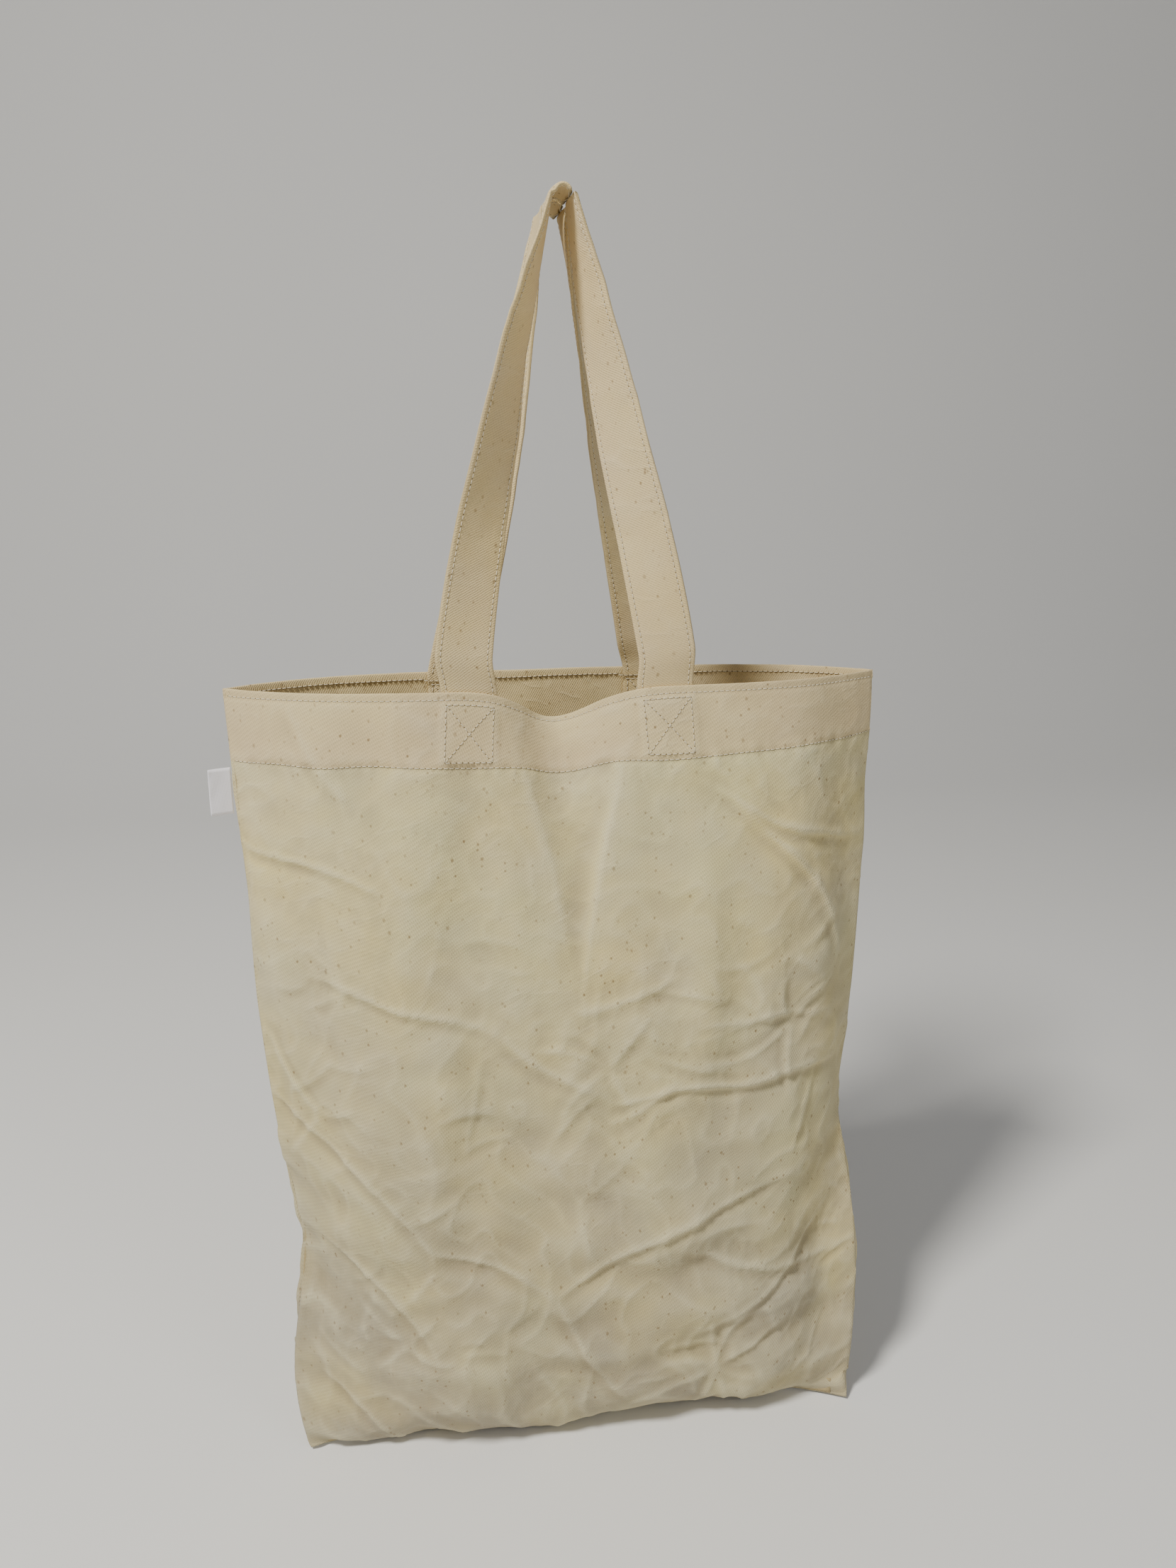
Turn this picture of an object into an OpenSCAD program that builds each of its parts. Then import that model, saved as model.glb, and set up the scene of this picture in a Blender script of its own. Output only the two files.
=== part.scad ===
// Canvas tote bag: two cloth panels sewn at the sides and the bottom, a turned-down
// hem round the mouth, and two sewn-in strap handles standing up to a hanging point.
// +Z is up, the front panel faces -Y, and the origin is on the table under the base.

/* [Bag] */
// Height of the rim above the table
body_h = 445; // [340:1:540]
// Width across the open mouth, side seam to side seam
mouth_w = 366; // [300:1:450]
// Width across the base, corner to corner
base_w = 332; // [270:1:410]
// How much the sides draw in at the waist, each side
waist_in = 5; // [0:0.5:15]
// Distance from the side seams to the front rim, and to the back rim
mouth_half_depth = 36; // [24:1:60]
// How far the mouth stands behind the base corners
lean = 52; // [20:1:80]
// How far the front swells out below the rim
front_belly = 22; // [8:1:40]
// How far the back swells out below the rim
back_belly = 16; // [8:1:40]
// Thickness of the cloth
cloth_t = 1; // [0.6:0.1:1.4]

/* [Hem] */
// Depth of the turned-down hem
hem_h = 37; // [20:1:60]
// Distance from the rim to the upper row of stitches
rim_stitch_in = 3; // [2:0.5:6]
// Fall of the front rim between its two strap ends
rim_sag = 17; // [0:1:25]
// Depth of the fold that runs down from the front rim
rim_fold = 20; // [0:1:28]

/* [Handles] */
// Width of the strap
strap_w = 31; // [22:1:40]
// Thickness of the folded strap
strap_t = 2; // [1.5:0.1:3]
// Distance between the middles of a handle's two strap ends
strap_gap = 114; // [90:1:150]
// Height of the hanging point above the rim
handle_drop = 251; // [150:1:330]
// Inner radius of the bend at the hanging point
hang_r = 4; // [3:0.5:8]
// Distance from the strap's edge to its row of stitches
edge_stitch_in = 3; // [2:0.5:6]

/* [Seams and thread] */
// Width of the seam allowance inside the bag
allowance_w = 10; // [6:0.5:15]
// Thickness of the folded seam allowance
allowance_t = 1.4; // [1:0.1:2.4]
// Width of a row of stitches
thread_w = 0.7; // [0.5:0.1:1.2]
// Height of the thread above the cloth
thread_t = 0.3; // [0.2:0.05:0.6]

/* [Label] */
// Height of the folded label
label_h = 26; // [15:1:40]
// How far the label stands out of the side seam
label_out = 11; // [6:0.5:18]
// Thickness of the folded label
label_t = 0.6; // [0.4:0.1:1]
// Distance from the rim down to the top of the label
label_below_rim = 42; // [40:1:120]
// Angle that the label stands forward of the side
label_turn = 20; // [0:1:40]

/* [Hidden] */

FRONT = -1;           // outward direction of each panel along Y
BACK = 1;
LEFT = -1;            // side of the bag along X
RIGHT = 1;

mouth_y = 12;                     // the plane of the mouth's corners
corner_y = mouth_y - lean;        // the base corners
seam_mid_y = corner_y + 18;       // the bottom seam halfway between them
front_edge_y = corner_y - 2;      // where the front panel leaves the table
back_edge_y = corner_y + 60;      // where the back panel leaves the table
front_base = 0.05;                // shares of a panel's height that lie on the table
back_base = 0.09;
flat_z = 3;                       // height under which the base is pressed flat
lifted_v = 0.03;                  // share of the height by which a panel has left the table
seam_room = (allowance_t + 0.3) / 2;   // from the seam plane to a panel
gap = 0.1;                        // clearance between pieces laid on each other
swing_gap = 1;                    // from the rim up to the part of a strap that swings
label_gap = 0.8;                  // from the side seam to the label's hinge
corner_room = 8;                  // from the bottom seam's ends to the side seams' edges
end_gap = 0.9;                    // from the hem to a strap's sewn end
hem_v = 1 - hem_h / body_h;       // share of a panel's height where its hem starts
rim_layers = 2 * cloth_t + gap;   // thickness of the panel and its hem together
half_strap_v = 1 - (hem_h - 2) / body_h;   // where a strap's sewn end stops

// The columns close up at the middle, where the rim folds.
half_columns = [0, 0.08, 0.16, 0.24, 0.32, 0.42, 0.54, 0.66, 0.78, 0.9, 1];
columns = [
    for (i = [len(half_columns) - 1 : -1 : 1]) -half_columns[i],
    for (u = half_columns) u
];
body_rows = 20;
rim_stitch_v = 1 - rim_stitch_in / body_h;
half_thread_v = thread_w / 2 / body_h;
// The rows pass along both edges of each row of stitches, so that the two lie on each other.
hem_rows = [
    hem_v - half_thread_v, hem_v + half_thread_v,
    lerp(hem_v, rim_stitch_v, 1 / 3), lerp(hem_v, rim_stitch_v, 2 / 3),
    rim_stitch_v - half_thread_v, rim_stitch_v + half_thread_v, 1
];
rows = [
    for (i = [0 : body_rows - 1]) hem_v * pow(i / body_rows, 1.25),
    for (v = hem_rows) v
];
hem_columns = [for (u = columns) if (abs(u) < 1) u];   // a hem stops short of the seams
seam_start = 0.06;                // share of the height where the side seams' edges start

cream = [0.86, 0.81, 0.68];
hem_cream = [0.84, 0.77, 0.62];
strap_cream = [0.83, 0.76, 0.62];
thread_cream = [0.90, 0.86, 0.74];
label_white = [0.86, 0.85, 0.90];

function clamp01(t) = max(0, min(1, t));
function lerp(a, b, t) = a + (b - a) * t;
function ease(t) = let (c = clamp01(t)) c * c * (3 - 2 * c);
function bell(t) = exp(-t * t);
function bezier(p, t) =
    p[0] * pow(1 - t, 3) + p[1] * 3 * t * pow(1 - t, 2)
    + p[2] * 3 * t * t * (1 - t) + p[3] * pow(t, 3);
function unit(a) = a / norm(a);
// Presses what is under flat_z onto the table and keeps the rim where it is.
function settle(z) = max(0, z - flat_z) * body_h / (body_h - flat_z);

// Half the bag's width at a share of its height.
function half_width(v) =
    lerp(base_w, mouth_w, ease(v)) / 2 - waist_in * bell((v - 0.4) / 0.13);
// A point of the side seams' plane, as [y, z].
function seam_point(v) = [mouth_y - lean * pow(1 - v, 1.2), body_h * v];
// The swelling of a panel at a share of its height, from 0 at the table and the rim to 1.
function swell(h) = pow(h, 0.55) * pow(1 - h, 1.1) / 0.35;
// A point halfway across a panel, as [y, z], from the bottom seam to the rim.
function middle_point(side, v) =
    let (
        edge_y = side == FRONT ? front_edge_y : back_edge_y,
        base = side == FRONT ? front_base : back_base,
        belly = side == FRONT ? front_belly : back_belly,
        rim_y = mouth_y + side * mouth_half_depth,
        h = (v - base) / (1 - base)
    )
    v < base
        ? [lerp(seam_mid_y, edge_y, v / base), 0]
        : [lerp(edge_y, rim_y, h) + side * belly * swell(h), body_h * h];
// Share of a panel's depth reached at u, fuller across at the rim than at the base.
function fullness(u, v) = 1 - pow(abs(u), lerp(2.6, 4, v));
// The fold at the middle of the front rim, from 0 to 1.
function fold_share(side, u, v) =
    side == FRONT ? bell(u * mouth_w / 2 / 24) * pow(clamp01((v - 0.55) / 0.45), 1.5) : 0;
function outside(side, u, v) =
    let (
        s = seam_point(v),
        m = middle_point(side, v),
        k = fullness(u, v),
        fold = fold_share(side, u, v)
    )
    [
        u * half_width(v),
        lerp(s.x, m.x, k) + side * (seam_room + cloth_t) - side * rim_fold * fold,
        settle(lerp(s.y, m.y, k)) - rim_sag * fold
    ];
function outward(side, u, v) =
    let (
        d = 0.004,
        u0 = max(-1, u - d), u1 = min(1, u + d),
        v0 = max(0, v - d), v1 = min(1, max(v + d, lifted_v)),
        n = cross(outside(side, u1, v) - outside(side, u0, v),
                  outside(side, u, v1) - outside(side, u, v0))
    )
    unit(n) * (side == FRONT ? 1 : -1);
// A point at a depth under a panel's outer surface: positive goes into the bag.
function layer(side, u, v, depth) = outside(side, u, v) - outward(side, u, v) * depth;
function grid(side, us, vs, depth) = [for (v = vs) [for (u = us) layer(side, u, v, depth)]];
// The same point on the straight stretch between two columns, where a panel's facets lie.
function on_facet(side, u, v, depth) =
    let (
        i = max([for (k = [0 : len(columns) - 2]) if (k == 0 || columns[k] <= u) k]),
        t = (u - columns[i]) / (columns[i + 1] - columns[i])
    )
    lerp(layer(side, columns[i], v, depth), layer(side, columns[i + 1], v, depth), t);

// A closed solid between two grids of points of the same size.
module between(near, far) {
    nr = len(near);
    nc = len(near[0]);
    n = nr * nc;
    e = nc - 1;
    t = (nr - 1) * nc;
    function quad(a, b, c, d) = [[a, b, c], [a, c, d]];
    polyhedron(
        [for (r = near) each r, for (r = far) each r],
        [
            for (i = [0 : nr - 2], j = [0 : nc - 2])
                let (a = i * nc + j)
                each concat(
                    quad(a, a + 1, a + nc + 1, a + nc),
                    quad(n + a, n + a + nc, n + a + nc + 1, n + a + 1)
                ),
            for (j = [0 : nc - 2])
                each concat(
                    quad(j + 1, j, n + j, n + j + 1),
                    quad(t + j, t + j + 1, n + t + j + 1, n + t + j)
                ),
            for (i = [0 : nr - 2])
                let (a = i * nc)
                each concat(
                    quad(a, a + nc, n + a + nc, n + a),
                    quad(a + nc + e, a + e, n + a + e, n + a + nc + e)
                )
        ]
    );
}

module layer_between(side, outer, inner) {
    if (side == FRONT) between(inner, outer);
    else between(outer, inner);
}

// A layer of a panel between two depths under its outer surface.
module cloth_layer(side, us, vs, depth, thickness) {
    layer_between(side, grid(side, us, vs, depth), grid(side, us, vs, depth + thickness));
}

module panel(side) {
    color(cream) cloth_layer(side, columns, rows, 0, cloth_t);
}

module hem(side) {
    color(hem_cream) cloth_layer(side, hem_columns, hem_rows, cloth_t + gap, cloth_t);
}

// A bar swept through rings of points, whose section is a four-cornered outline.
module swept(rings) {
    n = len(rings);
    c = len(rings[0]);
    last = (n - 1) * c;
    polyhedron(
        [for (r = rings) each r],
        [
            for (k = [1 : c - 2]) [0, k, k + 1],
            for (i = [0 : n - 2], k = [0 : c - 1])
                let (a = i * c + k, b = i * c + (k + 1) % c)
                each [[a, a + c, b + c], [a, b + c, b]],
            for (k = [1 : c - 2]) [last, last + k + 1, last + k]
        ]
    );
}

// The folded edges of both panels, standing inwards from a side seam.
module side_seam(x_side) {
    half = allowance_t / 2;
    steps = 16;
    rings = [
        for (i = [0 : steps])
            let (v = lerp(seam_start, 1, i / steps), s = seam_point(v), w = half_width(v))
            [
                [x_side * (w - allowance_w), s.x - half, settle(s.y)],
                [x_side * w, s.x - half, settle(s.y)],
                [x_side * w, s.x + half, settle(s.y)],
                [x_side * (w - allowance_w), s.x + half, settle(s.y)]
            ]
    ];
    color(hem_cream)
        if (x_side == RIGHT) swept(rings);
        else swept([for (r = rings) [r[1], r[0], r[3], r[2]]]);
}

// The same edges along the bottom, standing up inside the bag.
module bottom_seam() {
    half = allowance_t / 2;
    reach = half_width(0) - allowance_w - corner_room;
    steps = 12;
    rings = [
        for (i = [0 : steps])
            let (
                x = lerp(-reach, reach, i / steps),
                y = lerp(corner_y, seam_mid_y, fullness(x / half_width(0), 0))
            )
            [
                [x, y - half, gap], [x, y + half, gap],
                [x, y + half, allowance_w], [x, y - half, allowance_w]
            ]
    ];
    color(hem_cream) swept(rings);
}

// Handles are drawn for the front, with y measured from the mouth's plane.
strap_y = -mouth_half_depth + rim_layers - cloth_t - seam_room + strap_t / 2 + 0.4;
hang_y = -strap_w / 2 - 1;
hang_z = body_h + handle_drop - strap_t - hang_r;   // centre of the bend
bend_r = hang_r + strap_t / 2;
leg_steps = 22;
bend_steps = 6;
leg_curve = [
    [-strap_gap / 2, body_h + swing_gap],
    [-0.83 * strap_gap / 2, body_h + 0.38 * handle_drop],
    [-2.6 * bend_r, body_h + 0.78 * handle_drop],
    [-bend_r, hang_z]
];
// The strap's middle line on the left half, as [x, y, z, turn of the strap in degrees].
function leg_station(t) =
    let (p = bezier(leg_curve, t))
    [p.x, lerp(strap_y, hang_y, ease(t)), p.y, 90 * pow(t, 1.4)];
function bend_station(a) = [-bend_r * cos(a), hang_y, hang_z + bend_r * sin(a), 90];
left_half = [
    for (i = [0 : leg_steps]) leg_station(i / leg_steps),
    for (i = [1 : bend_steps]) bend_station(90 * i / bend_steps)
];
stations = concat(
    [for (s = left_half) [s.x, s.y, s.z, s[3]]],
    [for (i = [len(left_half) - 2 : -1 : 0])
        let (s = left_half[i]) [-s.x, s.y, s.z, 180 - s[3]]]
);
last_station = len(stations) - 1;
function middle(i) = [stations[i].x, stations[i].y, stations[i].z];
// The strap leaves the rim straight up, and is cut level there.
function along(i) =
    i == 0 ? [0, 0, 1]
    : i == last_station ? [0, 0, -1]
    : unit(middle(i + 1) - middle(i - 1));
// Across the strap, from its outer edge to its inner edge.
function across(i) =
    let (a = stations[i][3], w = [cos(a), sin(a), 0], t = along(i))
    unit(w - t * (w * t));
// One face of a strap: rings of points through a list of places across it.
function strap_face(places, height) = [
    for (i = [0 : last_station])
        let (m = middle(i), w = across(i), n = cross(along(i), w))
        [for (p = places) m + w * p + n * height]
];

module strap_layer(places, low, high) {
    between(strap_face(places, high), strap_face(places, low));
}

stitch_place = strap_w / 2 - edge_stitch_in;
function row_edges(edge) = [edge * stitch_place - thread_w / 2, edge * stitch_place + thread_w / 2];

module handle() {
    places = concat([-strap_w / 2], row_edges(-1), [0], row_edges(1), [strap_w / 2]);
    strap_layer(places, -strap_t / 2, strap_t / 2);
}

// One row of stitches along a strap, with its thread on both faces.
module handle_stitching(edge) {
    low = strap_t / 2 + gap;
    strap_layer(row_edges(edge), low, low + thread_t);
    strap_layer(row_edges(edge), -low - thread_t, -low);
}

module on_side(side) {
    translate([0, mouth_y, 0]) {
        if (side == FRONT) children();
        else mirror([0, 1, 0]) children();
    }
}

// The end of a strap, sewn inside the hem.
module handle_end(side, x_side) {
    mid_u = strap_gap / mouth_w;
    half_u = strap_w / mouth_w;
    steps = 8;
    us = [for (k = [0 : steps]) x_side * mid_u + lerp(-half_u, half_u, k / steps)];
    vs = [for (k = [0 : 3]) lerp(half_strap_v, 1, k / 3)];
    function face(depth) = [for (v = vs) [for (u = us) on_facet(side, u, v, depth)]];
    outer_depth = rim_layers + end_gap;
    color(strap_cream) layer_between(side, face(outer_depth), face(outer_depth + strap_t));
}

// A row of stitches across a panel, at a share of its height.
module stitch_row(side, v) {
    color(thread_cream)
        cloth_layer(side, columns, [v - half_thread_v, v + half_thread_v],
                    -gap - thread_t, thread_t);
}

// The square and cross of stitches that hold one strap end.
module box_stitch(side, x_side) {
    mid_u = x_side * strap_gap / mouth_w;
    half_u = (strap_w - 2 * edge_stitch_in) / mouth_w;
    top_v = 1 - (rim_stitch_in + 2) / body_h;
    low_v = 1 - (hem_h - 3) / body_h;
    u_w = thread_w / mouth_w;
    left = mid_u - half_u;
    right = mid_u + half_u;
    steps = 4;
    function seam_line(ua, va, ub, vb, du, dv) = [
        for (k = [0 : steps])
            let (u = lerp(ua, ub, k / steps), v = lerp(va, vb, k / steps))
            [[u - du, v - dv], [u + du, v + dv]]
    ];
    function place(pairs, depth) =
        [for (p = pairs) [for (q = p) layer(side, q[0], q[1], depth)]];
    lines = [
        seam_line(left, low_v, left, top_v, u_w, 0),
        seam_line(right, low_v, right, top_v, u_w, 0),
        seam_line(left + 2 * u_w, low_v, right - 2 * u_w, top_v, u_w * 1.4, 0),
        seam_line(right - 2 * u_w, low_v, left + 2 * u_w, top_v, u_w * 1.4, 0)
    ];
    color(thread_cream) union() {
        for (l = lines) layer_between(side, place(l, -gap - thread_t), place(l, -gap));
        for (v = [low_v - 2 * half_thread_v, top_v + 2 * half_thread_v])
            cloth_layer(side, [left - u_w, mid_u, right + u_w], [v - half_thread_v, v + half_thread_v],
                        -gap - thread_t, thread_t);
    }
}

// The folded label, hanging out of the left side seam.
module side_label() {
    low_z = body_h - label_below_rim - label_h;
    v = (low_z + label_h / 2) / body_h;
    hinge_x = -half_width(v) - label_gap;
    color(label_white)
        translate([hinge_x, seam_point(v).x, low_z])
            rotate([0, 0, 180 + label_turn])
                translate([0, -label_t / 2, 0]) {
                    cube([label_out - label_t / 2, label_t, label_h]);
                    translate([label_out - label_t / 2, label_t / 2, 0])
                        cylinder(h = label_h, r = label_t / 2, $fn = 24);
                }
}

panel(FRONT);  // front_panel
panel(BACK);  // back_panel
hem(FRONT);  // front_hem
hem(BACK);  // back_hem
side_seam(LEFT);  // side_seam_left
side_seam(RIGHT);  // side_seam_right
bottom_seam();
color(strap_cream) on_side(FRONT) handle();  // front_handle
color(strap_cream) on_side(BACK) handle();  // back_handle
handle_end(FRONT, LEFT);  // front_handle_end_left
handle_end(FRONT, RIGHT);  // front_handle_end_right
handle_end(BACK, LEFT);  // back_handle_end_left
handle_end(BACK, RIGHT);  // back_handle_end_right
color(thread_cream) on_side(FRONT) handle_stitching(-1);  // front_handle_outer_stitching
color(thread_cream) on_side(FRONT) handle_stitching(1);  // front_handle_inner_stitching
color(thread_cream) on_side(BACK) handle_stitching(-1);  // back_handle_outer_stitching
color(thread_cream) on_side(BACK) handle_stitching(1);  // back_handle_inner_stitching
stitch_row(FRONT, rim_stitch_v);  // front_rim_stitching
stitch_row(FRONT, hem_v);  // front_hem_stitching
stitch_row(BACK, rim_stitch_v);  // back_rim_stitching
stitch_row(BACK, hem_v);  // back_hem_stitching
box_stitch(FRONT, LEFT);  // front_box_stitch_left
box_stitch(FRONT, RIGHT);  // front_box_stitch_right
box_stitch(BACK, LEFT);  // back_box_stitch_left
box_stitch(BACK, RIGHT);  // back_box_stitch_right
side_label();
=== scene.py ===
"""Canvas tote bag: two panels of unbleached twill, hemmed at the mouth, with two strap handles.

The cloth of both panels is one pattern that is simulated once, then cut into a front and a back
canvas at the seams. Every stitch, seam edge, strap end and label is laid on that finished cloth.
Lengths named *_MM and the cloth's own flat coordinates are in millimetres; points are in metres.
"""
import math
import bpy
import numpy as np
from mathutils import Matrix, Vector


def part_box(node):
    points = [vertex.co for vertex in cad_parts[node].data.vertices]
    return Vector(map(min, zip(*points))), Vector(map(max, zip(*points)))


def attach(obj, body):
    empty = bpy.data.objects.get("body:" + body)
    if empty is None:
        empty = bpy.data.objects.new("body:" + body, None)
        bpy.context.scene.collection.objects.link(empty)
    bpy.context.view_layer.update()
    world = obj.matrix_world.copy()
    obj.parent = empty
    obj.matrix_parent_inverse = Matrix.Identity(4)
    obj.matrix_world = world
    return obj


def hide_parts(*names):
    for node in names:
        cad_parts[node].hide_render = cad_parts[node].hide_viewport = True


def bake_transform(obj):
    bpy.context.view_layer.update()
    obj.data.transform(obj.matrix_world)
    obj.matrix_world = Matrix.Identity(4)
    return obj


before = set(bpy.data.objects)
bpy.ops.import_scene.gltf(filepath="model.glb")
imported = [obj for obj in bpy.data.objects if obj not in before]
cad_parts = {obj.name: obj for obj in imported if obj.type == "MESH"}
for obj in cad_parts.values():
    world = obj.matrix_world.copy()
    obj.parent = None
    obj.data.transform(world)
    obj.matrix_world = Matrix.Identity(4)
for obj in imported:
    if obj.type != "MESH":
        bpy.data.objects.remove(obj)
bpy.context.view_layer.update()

MM = 0.001
FRONT, BACK = -1, 1
LEFT, RIGHT = -1, 1
SIDE_NAME = {FRONT: "front", BACK: "back"}
X_NAME = {LEFT: "left", RIGHT: "right"}

# ---- sizes taken from the frame ----
RIM_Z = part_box("back_panel")[1][2]
MOUTH_Y = 0.5 * (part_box("front_handle")[1][1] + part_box("back_handle")[0][1])
STRAP_RIM_Y = MOUTH_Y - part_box("front_handle")[0][1] - 0.001     # mouth's plane to a strap
LABEL_LOWEST, LABEL_HIGHEST = (np.array(corner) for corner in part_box("side_label"))
HEM_MM = 37.0
STRAP_HALF_MM = 15.4        # half of a strap's width
STRAP_X_MM = 57.0           # middle of the bag to the middle of a strap at the rim

# ---- the cut cloth ----
FLAT_HALF_MM = 190.0        # half of a panel's width between the side seams
FLAT_HIGH_MM = 465.0        # bottom seam to rim
CLOTH_T_MM = 0.7
LAYER_GAP_MM = 0.15         # between the two layers of the hem
RIM_STITCH_MM = 3.4         # rim to the upper row of stitches
STITCH_MM = 3.0             # length of one stitch with its hole
FINE_MM = 1.7               # spacing of the finished cloth's grid
LEAST_HIGH_MM = 0.6         # of the finished cloth over the table
COARSE_COLUMNS, COARSE_ROWS = 73, 91
SMOOTHING_PASSES = 9        # of the simulated grid, which take out its narrow ripples
RELIEF_SHADING_PASSES = 30          # of the folds' height, to tell raised cloth, which gets a painted highlight, from sunken cloth, which gets painted shade
RELIEF_SHADING_MM = 0.9             # height over its surroundings at which raised cloth gets the full painted highlight

# ---- how the cloth is let go in the simulation ----
EXCESS_ACROSS = -0.01       # share of extra cloth across, below the rim
EXCESS_UP = 0.09            # share of extra cloth up and down, most of it low in the bag
SEED_MM, SEED_DEPTH_MM = 50.0, 5.0      # size and depth of the first unevenness
HELD = 0.03                 # how firmly the filling holds the cloth
BASE_HELD = 0.5             # how firmly the table holds it
PRESSURE, BENDING, GRAVITY = 6.0, 2.0, 0.4
SIM_FRAMES = 30
START_HIGH_MM = 1.2         # least height over the table when the cloth is let go


# ---- small helpers ----
def clamp01(t):
    """Values held between 0 and 1."""
    return np.clip(t, 0.0, 1.0)


def ease(t):
    """From 0 to 1 with a soft start and a soft end."""
    t = clamp01(t)
    return t * t * (3 - 2 * t)


def bell(t):
    """From 1 in the middle down to 0 on both sides."""
    return np.exp(-t * t)


def lerp(a, b, t):
    """From a at 0 to b at 1."""
    return a + (b - a) * t


def through(points, x):
    """A smooth curve through given (place, value) pairs."""
    px, py = np.array(points, float).T
    slope = np.gradient(py, px)
    x = np.clip(x, px[0], px[-1])
    i = np.clip(np.searchsorted(px, x) - 1, 0, len(px) - 2)
    h = px[i + 1] - px[i]
    t = (x - px[i]) / h
    return (py[i] * (1 + 2 * t) * (1 - t) ** 2 + slope[i] * h * t * (1 - t) ** 2
            + py[i + 1] * t * t * (3 - 2 * t) + slope[i + 1] * h * t * t * (t - 1))


def unit(v):
    """Directions of length 1."""
    return v / np.maximum(np.linalg.norm(v, axis=-1, keepdims=True), 1e-12)


def run_along(points):
    """Distances along a line of points, from 0 at the first."""
    return np.concatenate([[0], np.cumsum(np.linalg.norm(np.diff(points, axis=0), axis=1))])


def places(at, run, points):
    """Points, or directions, at distances along a line."""
    return np.stack([np.interp(at, run, points[:, k]) for k in range(3)], -1)


def soft_noise(x, y, seed):
    """Smooth noise from about -1 to 1, with one bump per unit length."""
    ix, iy = np.floor(x), np.floor(y)
    fx, fy = x - ix, y - iy

    def corner(dx, dy):
        h = np.sin((ix + dx) * 127.1 + (iy + dy) * 311.7 + seed * 74.7) * 43758.5453
        a = 2 * np.pi * (h - np.floor(h))
        return np.cos(a) * (fx - dx) + np.sin(a) * (fy - dy)

    u, v = ease(fx), ease(fy)
    return 1.5 * lerp(lerp(corner(0, 0), corner(1, 0), u), lerp(corner(0, 1), corner(1, 1), u), v)


# ---- the shape the filled bag is held to ----
# Outline of the side seams: share of the height, then x in millimetres.
LEFT_EDGE = [(0, -160), (0.05, -166), (0.17, -168), (0.29, -163), (0.42, -171), (0.6, -178),
             (0.8, -180), (0.88, -181.5), (1, -183)]
RIGHT_EDGE = [(0, 166), (0.08, 171), (0.2, 176), (0.32, 173), (0.41, 168), (0.53, 174),
              (0.72, 181), (1, 185)]
CORNER_Y_MM = {LEFT: -43.0, RIGHT: -58.0}
SEAM_MID_Y_MM = -24.0
BASE_EDGE_Y_MM = {FRONT: -44.0, BACK: 22.0}
BASE_SHARE = {FRONT: 0.05, BACK: 0.09}
BELLY_MM = {FRONT: 30.0, BACK: 19.0}
MOUTH_DEPTH_MM = {FRONT: 35.0, BACK: 40.0}
RIM_FALL_MM = 17.0          # fall of the front rim at its fold
RIM_FOLD_MM = 19.0          # how far the fold pushes into the mouth
FOLD_X_MM = -6.0


def swell(h):
    """How full a panel is at a share of its height, up to about 1."""
    return np.maximum(h, 0) ** 0.55 * np.maximum(1 - h, 0) ** 1.1 / 0.35


def designed(side, s, t):
    """A point of a panel, in millimetres: s from seam to seam (-1 to 1), t from bottom to rim."""
    s, t = np.broadcast_arrays(np.asarray(s, float), np.asarray(t, float))
    mouth_y = MOUTH_Y / MM
    high = RIM_Z / MM
    base = BASE_SHARE[side]
    across = (s + 1) / 2
    x = lerp(through(LEFT_EDGE, t), through(RIGHT_EDGE, t), across)
    corner_y = lerp(CORNER_Y_MM[LEFT], CORNER_Y_MM[RIGHT], across)
    seam_y = mouth_y + (corner_y - mouth_y) * (1 - t) ** 1.2
    rim_y = mouth_y + side * MOUTH_DEPTH_MM[side]
    h = clamp01((t - base) / (1 - base))
    mid_y = np.where(t < base, lerp(SEAM_MID_Y_MM, BASE_EDGE_Y_MM[side], t / base),
                     lerp(BASE_EDGE_Y_MM[side], rim_y, h) + side * BELLY_MM[side] * swell(h))
    full = 1 - np.abs(s) ** lerp(2.6, 4.2, t)
    y = lerp(seam_y, mid_y, full)
    z = lerp(high * t, high * h, full)
    if side == FRONT:
        fold = bell((x - FOLD_X_MM - 6 * clamp01((x - FOLD_X_MM) / 40)) / 25)
        low = clamp01((t - 0.5) / 0.5)
        y = y + RIM_FOLD_MM * fold * low ** 1.6
        z = z - RIM_FALL_MM * fold * clamp01((t - 0.8) / 0.2)
    return np.stack([x, y, z], -1)


def designed_rows(side, ts, count):
    """Rows of the designed panel, with the points of each row at equal steps along the cloth."""
    fine = np.linspace(-1, 1, 241)
    rows, lengths = [], []
    for t in ts:
        p = designed(side, fine, t)
        run = run_along(p)
        rows.append(places(np.linspace(0, run[-1], count), run, p))
        lengths.append(run[-1])
    return np.array(rows), np.array(lengths)


# ---- cloth simulation of the whole pattern ----
def welded_pattern(columns, rows):
    """Vertex numbers of the front and the back grid, which share their side and bottom edges."""
    front = np.arange(columns * rows).reshape(rows, columns)
    back = front.copy()
    inner = np.arange((columns - 2) * (rows - 1)).reshape(rows - 1, columns - 2)
    back[1:, 1:-1] = front.size + inner
    return front, back


def quads(index):
    """Four-cornered faces over a grid of vertex numbers."""
    a, b = index[:-1, :-1], index[:-1, 1:]
    c, d = index[1:, 1:], index[1:, :-1]
    return np.stack([a, b, c, d], -1).reshape(-1, 4)


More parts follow.
